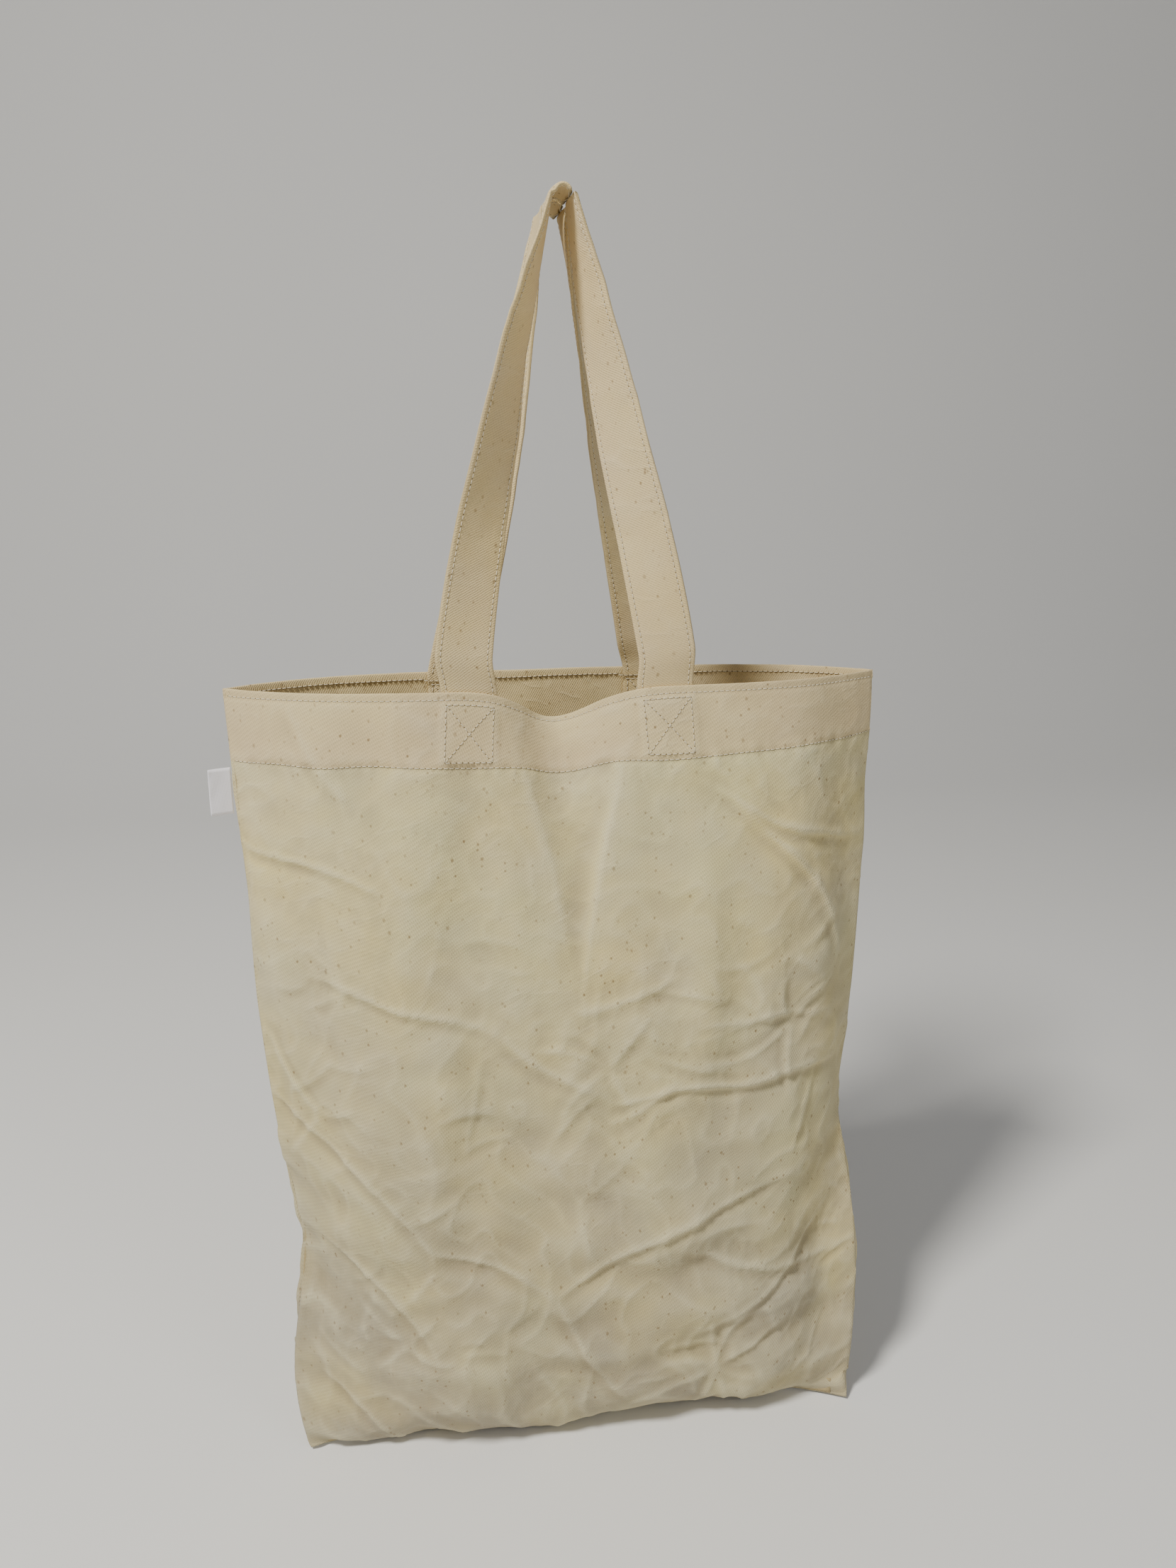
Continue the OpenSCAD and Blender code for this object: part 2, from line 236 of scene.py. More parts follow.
def simulated(held_still=False):
    """The two panels' coarse grids after the cloth has settled."""
    ts = np.linspace(0, 1, COARSE_ROWS)
    front_i, back_i = welded_pattern(COARSE_COLUMNS, COARSE_ROWS)
    start = np.zeros((back_i.max() + 1, 3))
    flat = np.zeros_like(start)
    goal = np.zeros(len(start))
    s = np.linspace(-1, 1, COARSE_COLUMNS)[None, :]
    for side, index in ((BACK, back_i), (FRONT, front_i)):
        points, lengths = designed_rows(side, ts, COARSE_COLUMNS)
        start[index] = points * MM
        wide = lengths * (1 + EXCESS_ACROSS * ease((1 - ts) / 0.08))
        pattern = np.zeros_like(points)
        pattern[..., 0] = s * wide[:, None] / 2
        pattern[..., 1] = side * (1 - s ** 2)
        pattern[..., 2] = FLAT_HIGH_MM * (ts - EXCESS_UP * (1 - ts) ** 2)[:, None]
        flat[index] = pattern * MM
        grip = HELD + (1 - HELD) * ease((ts - 0.93) / 0.06)
        grip = np.maximum(grip, BASE_HELD * (1 - ease(ts / 0.06)))
        goal[index] = grip[:, None]
    if held_still:
        return start[front_i] / MM, start[back_i] / MM
    x, z = start[:, 0] / SEED_MM / MM, start[:, 2] / SEED_MM / MM
    start[:, 1] += SEED_DEPTH_MM * MM * soft_noise(x, z * 1.3, 3) * (1 - goal)
    start[:, 2] += SEED_DEPTH_MM * MM * soft_noise(x * 1.3, z, 5) * (1 - goal)
    start[:, 2] = np.maximum(start[:, 2], START_HIGH_MM * MM)
    faces = np.concatenate([quads(front_i), quads(back_i)[:, ::-1]])
    points = settled(cloth_object(start, flat, goal, faces), table()).reshape(-1, 3)
    return points[front_i] / MM, points[back_i] / MM


def cloth_object(start, flat, goal, faces):
    """The pattern as cloth: its worn shape, its flat cut to rest at, and where it is held."""
    mesh = bpy.data.meshes.new("pattern")
    mesh.from_pydata(start.tolist(), [], faces.tolist())
    item = bpy.data.objects.new("pattern", mesh)
    bpy.context.scene.collection.objects.link(item)
    item.shape_key_add(name="shaded_and_hemmed")
    rest = item.shape_key_add(name="flat")
    rest.data.foreach_set("co", flat.ravel())
    held = item.vertex_groups.new(name="held")
    for weight in np.unique(goal.round(3)):
        members = np.flatnonzero(goal.round(3) == weight)
        held.add(members.tolist(), float(weight), "REPLACE")
    modifier = item.modifiers.new("cloth", "CLOTH")
    st = modifier.settings
    st.quality = 7
    st.mass = 0.25
    st.air_damping = 3.0
    st.tension_stiffness = st.compression_stiffness = 35
    st.shear_stiffness = 12
    st.bending_stiffness = BENDING
    st.tension_damping = st.compression_damping = 8
    st.shear_damping = 6
    st.bending_damping = 0.4
    st.effector_weights.gravity = GRAVITY
    st.vertex_group_mass = "held"
    st.pin_stiffness = 0.6
    st.rest_shape_key = rest
    st.use_pressure = True
    st.uniform_pressure_force = PRESSURE
    modifier.collision_settings.use_collision = True
    modifier.collision_settings.distance_min = 0.001
    modifier.collision_settings.use_self_collision = False
    return item


def table():
    """The surface that the cloth stands on while it settles."""
    item = bpy.data.objects.new("table", bpy.data.meshes.new("table"))
    item.data.from_pydata([(-1, -1, 0), (1, -1, 0), (1, 1, 0), (-1, 1, 0)], [], [(0, 1, 2, 3)])
    bpy.context.scene.collection.objects.link(item)
    item.modifiers.new("collision", "COLLISION")
    item.collision.thickness_outer = 0.001
    item.collision.cloth_friction = 20
    return item


def settled(cloth, support):
    """The cloth's points after the last frame. Both objects are taken away again."""
    scene = bpy.context.scene
    for f in range(1, SIM_FRAMES + 1):
        scene.frame_set(f)
    done = cloth.evaluated_get(bpy.context.evaluated_depsgraph_get()).to_mesh()
    points = np.empty(len(done.vertices) * 3)
    done.vertices.foreach_get("co", points)
    scene.frame_set(1)
    bpy.data.objects.remove(cloth)
    bpy.data.objects.remove(support)
    return points


# ---- the finished cloth ----
def cubic_along(grid, at, axis):
    """Points of a smooth curve through a grid's rows or columns, at fractional places."""
    g = np.moveaxis(grid, axis, 0)
    i = np.clip(np.floor(at).astype(int), 0, len(g) - 2)
    t = (at - i).reshape(-1, *[1] * (g.ndim - 1))
    a, b, c, d = g[np.maximum(i - 1, 0)], g[i], g[i + 1], g[np.minimum(i + 2, len(g) - 1)]
    out = b + 0.5 * t * (c - a + t * (2 * a - 5 * b + 4 * c - d + t * (3 * (b - c) + d - a)))
    return np.moveaxis(out, 0, axis)


def finer(grid, rows, columns):
    """A smooth finer grid through a coarse one."""
    out = cubic_along(grid, np.linspace(0, grid.shape[0] - 1, rows), 0)
    return cubic_along(out, np.linspace(0, grid.shape[1] - 1, columns), 1)


def softened(grid, passes):
    """The grid with its smallest ripples eased out. Its border stays."""
    g = grid.copy()
    for _ in range(passes):
        near = (g[:-2, 1:-1] + g[2:, 1:-1] + g[1:-1, :-2] + g[1:-1, 2:]) / 4
        g[1:-1, 1:-1] = lerp(g[1:-1, 1:-1], near, 0.5)
    return g


# Main folds, given in flat centimetres from the panel's middle and the bottom seam:
# start, end, and how far the fold bows to the left of its line.
FRONT_FOLDS = [
    (0, 29, 6, 31, -0.3), (7, 28, 15, 27, 0.5), (2, 23, 6, 25, -0.3), (-15, 31, -4, 28, 0.6),
    (-4, 28, 1, 25, -0.4), (2, 24, 18, 23, 0.9), (-19, 23, -9, 16, 1.2), (-17, 15, -9, 9, 1.0),
    (-9, 16, -2, 13, 0.4), (-2, 13, 14, 18, 0.8), (6, 15, 18, 11, -0.7), (7, 9, 16, 14, -0.5),
    (-19, 38, -10, 36, 0.3), (8, 41, 18, 37, -0.6), (9, 40, 17, 30, 1.0), (-2, 13, 3, 5, -0.5),
    (-15, 46, -12, 41, -0.4), (-17, 6, -12, 2, 0.4),
]
BACK_FOLDS = [
    (-15, 33, -6, 30, 0.6), (-6, 30, 4, 32, -0.7), (4, 26, 16, 23, 0.6), (-17, 21, -9, 17, 0.7),
    (-9, 17, 1, 15, -0.6), (3, 14, 13, 18, 0.6), (-12, 9, -7, 4, 0.5), (-2, 40, 1, 30, 0.8),
    (7, 42, 13, 33, -0.8), (-19, 30, -13, 26, -0.4), (9, 8, 18, 5, -0.5),
]
# Points that short folds run out from: place in the same centimetres, and how many folds.
FRONT_KNOTS = [(8.5, 6.5, 8), (13, 27, 4), (-11, 10, 4), (2, 26, 4), (-15, 23, 3)]
BACK_KNOTS = [(9, 8, 8), (-6, 16, 4), (-12, 9, 5), (4, 31, 3)]
CREASE_SEED = {FRONT: 4, BACK: 9}
DETAIL_SEED = {FRONT: 11, BACK: 37}
LOOSE_FOLDS = 46            # short folds strewn over the lower part of a panel
# Heights of the soft shapes, in millimetres.
SWAY_MM = 2.6               # of the whole panel
HANGING_MM = 3.6            # long folds that hang from the rim
SLUMP_MM = 3.2              # flat folds where the cloth stands low
WAVE_MM = 1.7               # small waves
VALLEY_MM = 8.5             # depth of the valley below the front rim's fold
VALLEY_FOOT_MM = 285.0      # where it runs out
VALLEY_LONG_MM = 165.0
SEAM_PUCKER_MM = 0.8
HEM_PUCKER_MM = 0.7


def crease(x, y, x0, y0, x1, y1, bow, high, wide):
    """A sharp ridge with a soft valley beside it, fading out at both ends."""
    dx, dy = x1 - x0, y1 - y0
    length = math.hypot(dx, dy)
    along = ((x - x0) * dx + (y - y0) * dy) / length ** 2
    off = ((y - y0) * dx - (x - x0) * dy) / length - bow * 4 * along * (1 - along)
    fade = np.sqrt(np.clip(4 * along * (1 - along), 0, 1)) * (np.abs(off) < 9 * wide)
    ridge = np.exp(-np.abs(off) / wide)
    valley = bell((off + 2.0 * wide) / (1.5 * wide))
    return high * fade * (ridge - 0.55 * valley)


def creases(side, x, y):
    """The main folds, the short folds round the knots, and loose small ones low in the bag."""
    rng = np.random.default_rng(CREASE_SEED[side])
    h = np.zeros_like(x)
    for x0, y0, x1, y1, bow in FRONT_FOLDS if side == FRONT else BACK_FOLDS:
        high = 1.2 + 0.05 * math.hypot(x1 - x0, y1 - y0)
        h += crease(x, y, *(10 * v for v in (x0, y0, x1, y1, bow)), high, rng.uniform(1.8, 2.8))
    for kx, ky, count in FRONT_KNOTS if side == FRONT else BACK_KNOTS:
        turn = rng.uniform(0, 2 * math.pi)
        for k in range(count):
            a = turn + 2 * math.pi * (k + rng.uniform(-0.3, 0.3)) / count
            reach = rng.uniform(22, 62)
            end = 10 * kx + reach * math.cos(a), 10 * ky + reach * 0.8 * math.sin(a)
            h += crease(x, y, 10 * kx, 10 * ky, *end, rng.uniform(-5, 5),
                        rng.uniform(0.9, 1.7), wide=2.2)
    for _ in range(LOOSE_FOLDS):
        cx, cy = rng.uniform(-175, 175), 20 + 330 * rng.uniform() ** 1.5
        a, reach = rng.normal(0.1, 0.7), rng.uniform(8, 24)
        dx, dy = reach * math.cos(a), reach * math.sin(a)
        h += crease(x, y, cx - dx, cy - dy, cx + dx, cy + dy, rng.uniform(-3, 3),
                    rng.uniform(0.4, 1.1), rng.uniform(1.7, 2.4))
    return h


def rim_valley(x, y):
    """The fold at the middle of the front rim, which narrows to a point below."""
    t = clamp01((y - VALLEY_FOOT_MM) / VALLEY_LONG_MM)
    middle, half = lerp(2, FOLD_X_MM + 8, t), lerp(6, 27, t)
    valley = -VALLEY_MM * t ** 0.7 * (1 - 0.6 * t) * bell((x - middle) / half)
    left = crease(x, y, -34, 445, 1, 284, bow=6, high=1.5, wide=7.0)
    right = crease(x, y, 36, 440, 5, 284, bow=-7, high=2.0, wide=5.0)
    return valley + left + right


def crumple(x, y, size, seed):
    """Sharp folds that wander over the cloth, from 0 in the flats to 1 on a fold."""
    wx = x + 0.4 * size * soft_noise(x / size / 1.3, y / size / 1.3, seed + 1)
    wy = y + 0.4 * size * soft_noise(x / size / 1.3, y / size / 1.3, seed + 2)
    n = np.abs(soft_noise(wx / size, wy / size, seed))
    return np.exp(-n / 0.16)


def detail(side, x, y):
    """Height of the small shapes over the simulated cloth, in millimetres."""
    seed = DETAIL_SEED[side]
    h = folds(seed, x, y)
    h += creases(side, x, y)
    if side == FRONT:
        h += rim_valley(x, y)
    edge = FLAT_HALF_MM - np.abs(x)
    pucker = soft_noise(y / 7.5, np.sign(x) * 4 + edge / 30, seed + 12)
    h += SEAM_PUCKER_MM * np.exp(-edge / 8) * pucker
    return hem_relief(h, seed, x, y)


def folds(seed, x, y):
    """Soft folds: long ones that hang from the rim, and crumpled ones low in the bag."""
    low = 1 - ease((y - 120) / 260)
    patch = ease(0.5 + 0.9 * soft_noise(x / 90, y / 80, seed + 5))
    h = SWAY_MM * soft_noise(x / 75, y / 95, seed)
    h += HANGING_MM * ease((y - 170) / 160) * soft_noise(x / 36 + y / 420, y / 210, seed + 20)
    h += SLUMP_MM * low * soft_noise(x / 70 - y / 130, y / 30, seed + 22)
    h += WAVE_MM * soft_noise(x / 30 + y / 50, y / 19 - x / 90, seed + 24) * (0.45 + 0.55 * low)
    h += lerp(0.8, 1.7, low) * patch * crumple(x, y, 46, seed + 7)
    h += lerp(0.6, 1.0, low) * (1 - 0.6 * patch) * crumple(x, y, 24, seed + 8)
    h += 0.4 * crumple(x, y, 11, seed + 9) * patch
    return h


def hem_relief(h, seed, x, y):
    """The relief with the hem over it: a step at its lower row, puckers, and the strap ends."""
    hem_y = FLAT_HIGH_MM - HEM_MM
    rim_y = FLAT_HIGH_MM - RIM_STITCH_MM
    h = h * (1 - 0.5 * ease((y - hem_y + 6) / 12)) * ease(y / 16)
    h += 0.35 * ease((y - hem_y) / 2.5) * ease((rim_y - y) / 2.5 + 0.3)
    h -= 0.45 * bell((y - hem_y) / 1.1) + 0.35 * bell((y - rim_y) / 0.9)
    near = bell((y - hem_y + 1) / 5)
    h += HEM_PUCKER_MM * near * soft_noise(x / 5.5, y / 14, seed + 3)
    h += 0.18 * bell((y - rim_y) / 3) * soft_noise(x / 4.5, y / 9, seed + 4)
    inside = ease((STRAP_HALF_MM + 1.2 - np.abs(np.abs(x) - STRAP_X_MM)) / 2.4)
    h += 0.5 * inside * ease((y - FLAT_HIGH_MM + 36) / 2.4) * ease((rim_y - y) / 2.5 + 0.5)
    return h


class Cloth:
    """One panel's outer surface, which the seams, stitches and strap ends are laid on."""

    def __init__(self, side, coarse):
        self.side = side
        rows = round(FLAT_HIGH_MM / FINE_MM) + 1
        columns = round(2 * FLAT_HALF_MM / FINE_MM) + 1
        self.x = np.linspace(-FLAT_HALF_MM, FLAT_HALF_MM, columns)
        self.y = np.linspace(0, FLAT_HIGH_MM, rows)
        grid = finer(softened(coarse, SMOOTHING_PASSES), rows, columns) * MM
        x, y = np.meshgrid(self.x, self.y)
        seam = ease((FLAT_HALF_MM - np.abs(x)) / 2.5)
        height = detail(side, x, y)
        # How far the cloth stands over its surroundings, which sets the painted shade in its
        # hollows and the painted highlight on its raised folds.
        self.relief_shading = height - softened(height[..., None], RELIEF_SHADING_PASSES)[..., 0]
        grid = grid + self.normals(grid) * (height * seam)[..., None] * MM
        grid[..., 2] = np.maximum(grid[..., 2], LEAST_HIGH_MM * MM)
        self.points = grid
        self.outward = self.normals(grid)

    def normals(self, grid):
        """Out of the bag."""
        across, up = np.gradient(grid, axis=1), np.gradient(grid, axis=0)
        return unit(np.cross(across, up)) * -self.side

    def sample(self, table, x, y):
        """Values of a grid at flat places, eased from point to point."""
        x, y = np.broadcast_arrays(np.asarray(x, float), np.asarray(y, float))
        c = np.clip((x - self.x[0]) / (self.x[1] - self.x[0]), 0, len(self.x) - 1.001)
        r = np.clip((y - self.y[0]) / (self.y[1] - self.y[0]), 0, len(self.y) - 1.001)
        i, j = r.astype(int), c.astype(int)
        u, v = (c - j)[..., None], (r - i)[..., None]
        return lerp(lerp(table[i, j], table[i, j + 1], u),
                    lerp(table[i + 1, j], table[i + 1, j + 1], u), v)

    def at(self, x, y, depth=0.0):
        """A point at a depth under the outer face, in millimetres, and the outward direction."""
        n = unit(self.sample(self.outward, x, y))
        return self.sample(self.points, x, y) - n * np.asarray(depth)[..., None] * MM, n


# ---- meshes ----
def mesh_piece(name, points, faces, uv, materials, face_materials=None, smooth=True):
    """A piece from points, four-cornered faces and a place on the flat cloth for each point."""
    mesh = bpy.data.meshes.new(name)
    points = np.asarray(points, float).reshape(-1, 3)
    faces = np.asarray(faces, int)
    mesh.from_pydata(points.tolist(), [], faces.tolist())
    if uv is not None:
        layer = mesh.uv_layers.new(name="cloth")
        layer.data.foreach_set("uv", np.asarray(uv, float).reshape(-1, 2)[faces.ravel()].ravel())
    for m in materials:
        mesh.materials.append(m)
    if face_materials is not None:
        mesh.polygons.foreach_set("material_index", np.asarray(face_materials, np.int32))
    mesh.polygons.foreach_set("use_smooth", np.full(len(faces), smooth))
    mesh.update()
    piece = bpy.data.objects.new(name, mesh)
    bpy.context.scene.collection.objects.link(piece)
    return piece


def grid_faces(rows, columns, flip=False, around=False):
    """Faces of a grid of points, closed into a tube if it goes around."""
    index = np.arange(rows * columns).reshape(rows, columns)
    if around:
        index = np.concatenate([index, index[:, :1]], axis=1)
    faces = quads(index)
    return faces[:, ::-1] if flip else faces


def relief_shading_attribute(piece, share):
    """How the relief is painted at each point: 0 in the sunken places, which get painted shade,
    and 1 on the raised ones, which get a painted highlight.
    """
    layer = piece.data.color_attributes.new("relief_shading", "FLOAT_COLOR", "POINT")
    grey = np.repeat(share.reshape(-1, 1), 4, axis=1)
    grey[:, 3] = 1
    layer.data.foreach_set("color", grey.ravel())


def thickened(piece, thickness_mm, offset=-1.0):
    """Gives a sheet its thickness, on its inner side or, at offset 0, on both."""
    solid = piece.modifiers.new("cloth thickness", "SOLIDIFY")
    solid.thickness = thickness_mm * MM
    solid.offset = offset
    solid.use_rim = True
    return piece


def tube_faces(count, rings, sides):
    """Faces of many short tubes of the same make, closed at both ends by their last rings."""
    one = grid_faces(rings, sides, around=True)
    start = np.arange(count)[:, None, None] * rings * sides
    return (one[None] + start).reshape(-1, 4)


# ---- panels with their hems ----
LAYERS_MM = 2 * CLOTH_T_MM + LAYER_GAP_MM


def canvas(cloth, material):
    """A panel whose top edge rolls over the rim and runs down inside as the hem's facing."""
    side = SIDE_NAME[cloth.side]
    r = LAYERS_MM / 2
    rim, n = cloth.points[-1], cloth.outward[-1]
    up = unit(cloth.points[-1] - cloth.points[-3])
    rows = [cloth.points]
    flat = [cloth.y]
    for a in np.radians([30, 60, 90, 120, 150]):
        rows.append((rim + (up * math.sin(a) * r - n * (1 - math.cos(a)) * r) * MM)[None])
        flat.append([FLAT_HIGH_MM + r * a])
    down = np.arange(0, HEM_MM - 0.5, FINE_MM)
    x, y = np.meshgrid(cloth.x, FLAT_HIGH_MM - down)
    bead = 0.5 * ease((down - HEM_MM + 5) / 3)[:, None] * np.ones_like(x)
    facing, _ = cloth.at(x, y, LAYERS_MM + bead)
    rows.append(facing)
    flat.append(FLAT_HIGH_MM + r * math.pi + down)
    last, _ = cloth.at(cloth.x, FLAT_HIGH_MM - down[-1] - 0.9, LAYERS_MM - 0.2)
    rows.append(last[None])
    flat.append([flat[-1][-1] + 1])
    points = np.concatenate(rows)
    flat_y = np.concatenate(flat)
    uv = np.stack(np.broadcast_arrays(cloth.x[None, :], flat_y[:, None]), -1) * MM
    faces = grid_faces(*points.shape[:2], flip=cloth.side == BACK)
    piece = mesh_piece(side + "_canvas", points, faces, uv, [material])
    # Painted shade in the hollows and a painted highlight on the raised folds, on the outer face
    # only.
    relief_shading = np.zeros(points.shape[:2])
    relief_shading[:len(cloth.y)] = cloth.relief_shading
    relief_shading_attribute(piece, 0.5 + 0.5 * np.clip(relief_shading / RELIEF_SHADING_MM, -1, 1))
    thickened(piece, CLOTH_T_MM)
    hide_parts(side + "_panel", side + "_hem")
    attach(piece, "bag")
    return piece


# ---- raw edges of the seams, standing inside the bag ----
ALLOWANCE_MM = 10.0
SEAM_START_MM = 1.2         # from the seam to the start of its allowance
SEAM_LOW_SHARE = 0.07       # share of the height at which a side seam starts
OVERLOCK_MM = 0.2           # radius of the overlock thread
OVERLOCK_PITCH_MM = 2.6
OVERLOCK_BITE_MM = 4.5


def tube(name, path, radius_mm, material, sides=6):
    """A thread along a path of points."""
    path = np.asarray(path, float)
    along = unit(np.gradient(path, axis=0))
    across = unit(np.cross(along, along[:, [1, 2, 0]] + 0.3))
    other = np.cross(along, across)
    a = np.linspace(0, 2 * np.pi, sides, endpoint=False)
    ring = np.cos(a)[None, :, None] * across[:, None] + np.sin(a)[None, :, None] * other[:, None]
    points = path[:, None] + ring * radius_mm * MM
    return mesh_piece(name, points, grid_faces(len(path), sides, around=True), None, [material])


def waver(run, deep):
    """How far the edge of a seam leans to one side, in millimetres."""
    return 0.8 * soft_noise(np.float64(run / 17), np.float64(deep / 20), 21)


def seam_edge(name, line, inward, sideways, canvas_material, thread_material):
    """A strip of doubled cloth edge along a seam, with overlock thread over its raw side."""
    line = np.asarray(line)
    run = run_along(line) / MM
    deep = np.linspace(0, ALLOWANCE_MM, 7)
    wave = waver(run[:, None], deep[None]) * (deep / ALLOWANCE_MM)[None]
    middle = (line[:, None] + inward[:, None] * deep[None, :, None] * MM
              + sideways[:, None] * wave[..., None] * MM)
    uv = np.stack(np.broadcast_arrays(deep[None] * MM, run[:, None] * MM), -1)
    faces = grid_faces(len(line), len(deep))
    strip = mesh_piece(name + "_edge", middle, faces, uv, [canvas_material])
    thickened(strip, 2 * CLOTH_T_MM, offset=0)
    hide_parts(name)
    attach(strip, "bag")
    half = CLOTH_T_MM + 0.12
    corners = [(ALLOWANCE_MM - OVERLOCK_BITE_MM, half), (ALLOWANCE_MM + 0.25, half),
               (ALLOWANCE_MM + 0.25, -half), (ALLOWANCE_MM - OVERLOCK_BITE_MM, -half)]
    path = []
    for k in range(int(run[-1] / OVERLOCK_PITCH_MM) - 1):
        for c, (depth, high) in enumerate(corners):
            at = (k + 0.25 * c) * OVERLOCK_PITCH_MM
            base, inn, side = (places(at, run, v) for v in (line, inward, sideways))
            shift = float(waver(at, depth))
            path.append(base + inn * depth * MM
                        + side * (high + shift * depth / ALLOWANCE_MM) * MM)
    thread = tube(name + "_overlock", path, OVERLOCK_MM, thread_material, sides=5)
    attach(thread, "bag")


def side_seam(x_side, front, back, canvas_material, thread_material):
    """The allowance of a side seam, from over the bottom corner up to the hem."""
    low = int(SEAM_LOW_SHARE * len(front.y))
    high = int((FLAT_HIGH_MM - HEM_MM - 1.5) / FLAT_HIGH_MM * len(front.y))
    edge, near = (0, 5) if x_side == LEFT else (-1, -6)
    rows = slice(low, high, 2)
    line = front.points[rows, edge]
    inward = unit(front.points[rows, near] + back.points[rows, near] - 2 * line)
    along = unit(np.gradient(line, axis=0))
    sideways = unit(np.cross(along, inward))
    line = line + inward * SEAM_START_MM * MM
    seam_edge("side_seam_" + X_NAME[x_side], line, inward, sideways,
              canvas_material, thread_material)


def bottom_seam(front, canvas_material, thread_material):
    """The allowance of the bottom seam, standing up inside the bag."""
    row = front.points[0, 7:-7:2] + np.array([0, 0, SEAM_START_MM]) * MM
    inward = np.tile([0.0, 0.0, 1.0], (len(row), 1))
    along = unit(np.gradient(row, axis=0))
    sideways = unit(np.cross(along, inward))
    seam_edge("bottom_seam", row, inward, sideways, canvas_material, thread_material)


# ---- stitches ----
THREAD_MM = 0.25            # radius of the sewing thread
HOLE_MM = 0.34              # half width of the painted shade at a needle hole
STITCH_SHARE = 0.8          # share of each step that the thread shows
BOX_INSET_MM = 3.0          # strap's edges to the stitched square


def stitches(name, starts, ends, normals, materials):
    """Single stitches that arch out of the cloth, each with a small dark disc of painted shade
    where it goes in.
    """
    starts, ends, n = (np.asarray(v, float) for v in (starts, ends, normals))
    span = ends - starts
    along = unit(span)
    across = unit(np.cross(n, along))
    share = np.array([0.0, 0.14, 0.5, 0.86, 1.0])
    lift = np.array([-0.5, 0.55, 0.9, 0.55, -0.5]) * THREAD_MM
    girth = np.array([0.45, 0.9, 1.0, 0.9, 0.45]) * THREAD_MM
    a = np.linspace(0, 2 * np.pi, 6, endpoint=False)
    centre = (starts[:, None] + span[:, None] * share[None, :, None]
              + n[:, None] * lift[None, :, None] * MM)
    ring = (np.cos(a)[None, :, None] * across[:, None] + np.sin(a)[None, :, None] * n[:, None])
    thread = centre[:, :, None] + ring[:, None] * girth[None, :, None, None] * MM
    faces = tube_faces(len(starts), 5, 6)
    # Dark discs of painted shade at the needle holes.
    a = np.linspace(0, 2 * np.pi, 8, endpoint=False)
    disc = (np.cos(a)[None, :, None] * along[:, None] * 1.5
            + np.sin(a)[None, :, None] * across[:, None])
    hole_shades = (starts[:, None] - along[:, None] * 0.15 * MM + n[:, None] * 0.05 * MM
             + disc * HOLE_MM * MM)
    one = np.array([(0, 1, 2, 3), (0, 3, 4, 7), (4, 5, 6, 7)])
    hole_shade_faces = (one[None] + 8 * np.arange(len(starts))[:, None, None]).reshape(-1, 4)
    points = np.concatenate([thread.reshape(-1, 3), hole_shades.reshape(-1, 3)])
    all_faces = np.concatenate([faces, hole_shade_faces + thread.size // 3])
    kind = np.repeat([0, 1], [len(faces), len(hole_shade_faces)])
    piece = mesh_piece(name, points, all_faces, None, materials, kind)
    return piece


def stepped(line):
    """Starts and ends of the stitches along a line of flat points."""
    starts, ends = [], []
    for (x0, y0), (x1, y1) in zip(line[:-1], line[1:]):
        count = max(2, round(math.hypot(x1 - x0, y1 - y0) / STITCH_MM))
        t = np.arange(count) / count
        gap = (1 - STITCH_SHARE) / 2 / count
        for low, out in ((t + gap, starts), (t + 1 / count - gap, ends)):
            out += list(zip(lerp(x0, x1, low), lerp(y0, y1, low)))
    return np.array(starts), np.array(ends)


def facing_depth(x, y):
    """Depth under the outer face of the innermost layer at the hem."""
    over = (np.abs(np.abs(x) - STRAP_X_MM) < STRAP_HALF_MM) & (y > FLAT_HIGH_MM - STRAP_END_MM)
    return np.where(over, LAYERS_MM + STRAP_GAP_MM + STRAP_T_MM, LAYERS_MM + 0.04)


def sewn(name, cloth, line, materials, replaced):
    """A line of stitches through the hem, with its thread on the outside and inside."""
    starts, ends = stepped(line)
    halves = []
    for inner in (False, True):
        flip = -1 if inner else 1
        a, b = (ends, starts) if inner else (starts, ends)
        shift = 0.5 * (b - a) / STITCH_SHARE if inner else 0
        pa, na = cloth.at(*(a + shift).T, facing_depth(*a.T) if inner else 0.0)
        pb, nb = cloth.at(*(b + shift).T, facing_depth(*a.T) if inner else 0.0)
        halves.append((pa, pb, flip * unit(na + nb)))
    piece = stitches(name, *(np.concatenate(v) for v in zip(*halves)), materials)
    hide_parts(replaced)
    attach(piece, "bag")
    return piece


def hem_stitches(cloth, materials):
    """The two rows of stitches round the mouth, along one panel."""
    side = SIDE_NAME[cloth.side]
    reach = FLAT_HALF_MM - 3
    for row, y in (("rim", FLAT_HIGH_MM - RIM_STITCH_MM), ("hem", FLAT_HIGH_MM - HEM_MM)):
        name = "%s_%s_stitching" % (side, row)
        sewn(name + "_thread", cloth, [(-reach, y), (reach, y)], materials, name)


def box_stitches(cloth, x_side, materials):
    """The square with a cross that holds a strap end."""
    middle, half = x_side * STRAP_X_MM, STRAP_HALF_MM - BOX_INSET_MM
    low = FLAT_HIGH_MM - STRAP_END_MM + BOX_INSET_MM
    high = FLAT_HIGH_MM - RIM_STITCH_MM - 2.2
    left, right = middle - half, middle + half
    line = [(left, low), (left, high), (right, high), (right, low), (left, low), (right, high)]
    name = "%s_box_stitch_%s" % (SIDE_NAME[cloth.side], X_NAME[x_side])
    cross = [(left, high), (right, low)]
    sewn(name + "_thread", cloth, line, materials, name)
    sewn(name + "_cross", cloth, cross, materials, name)


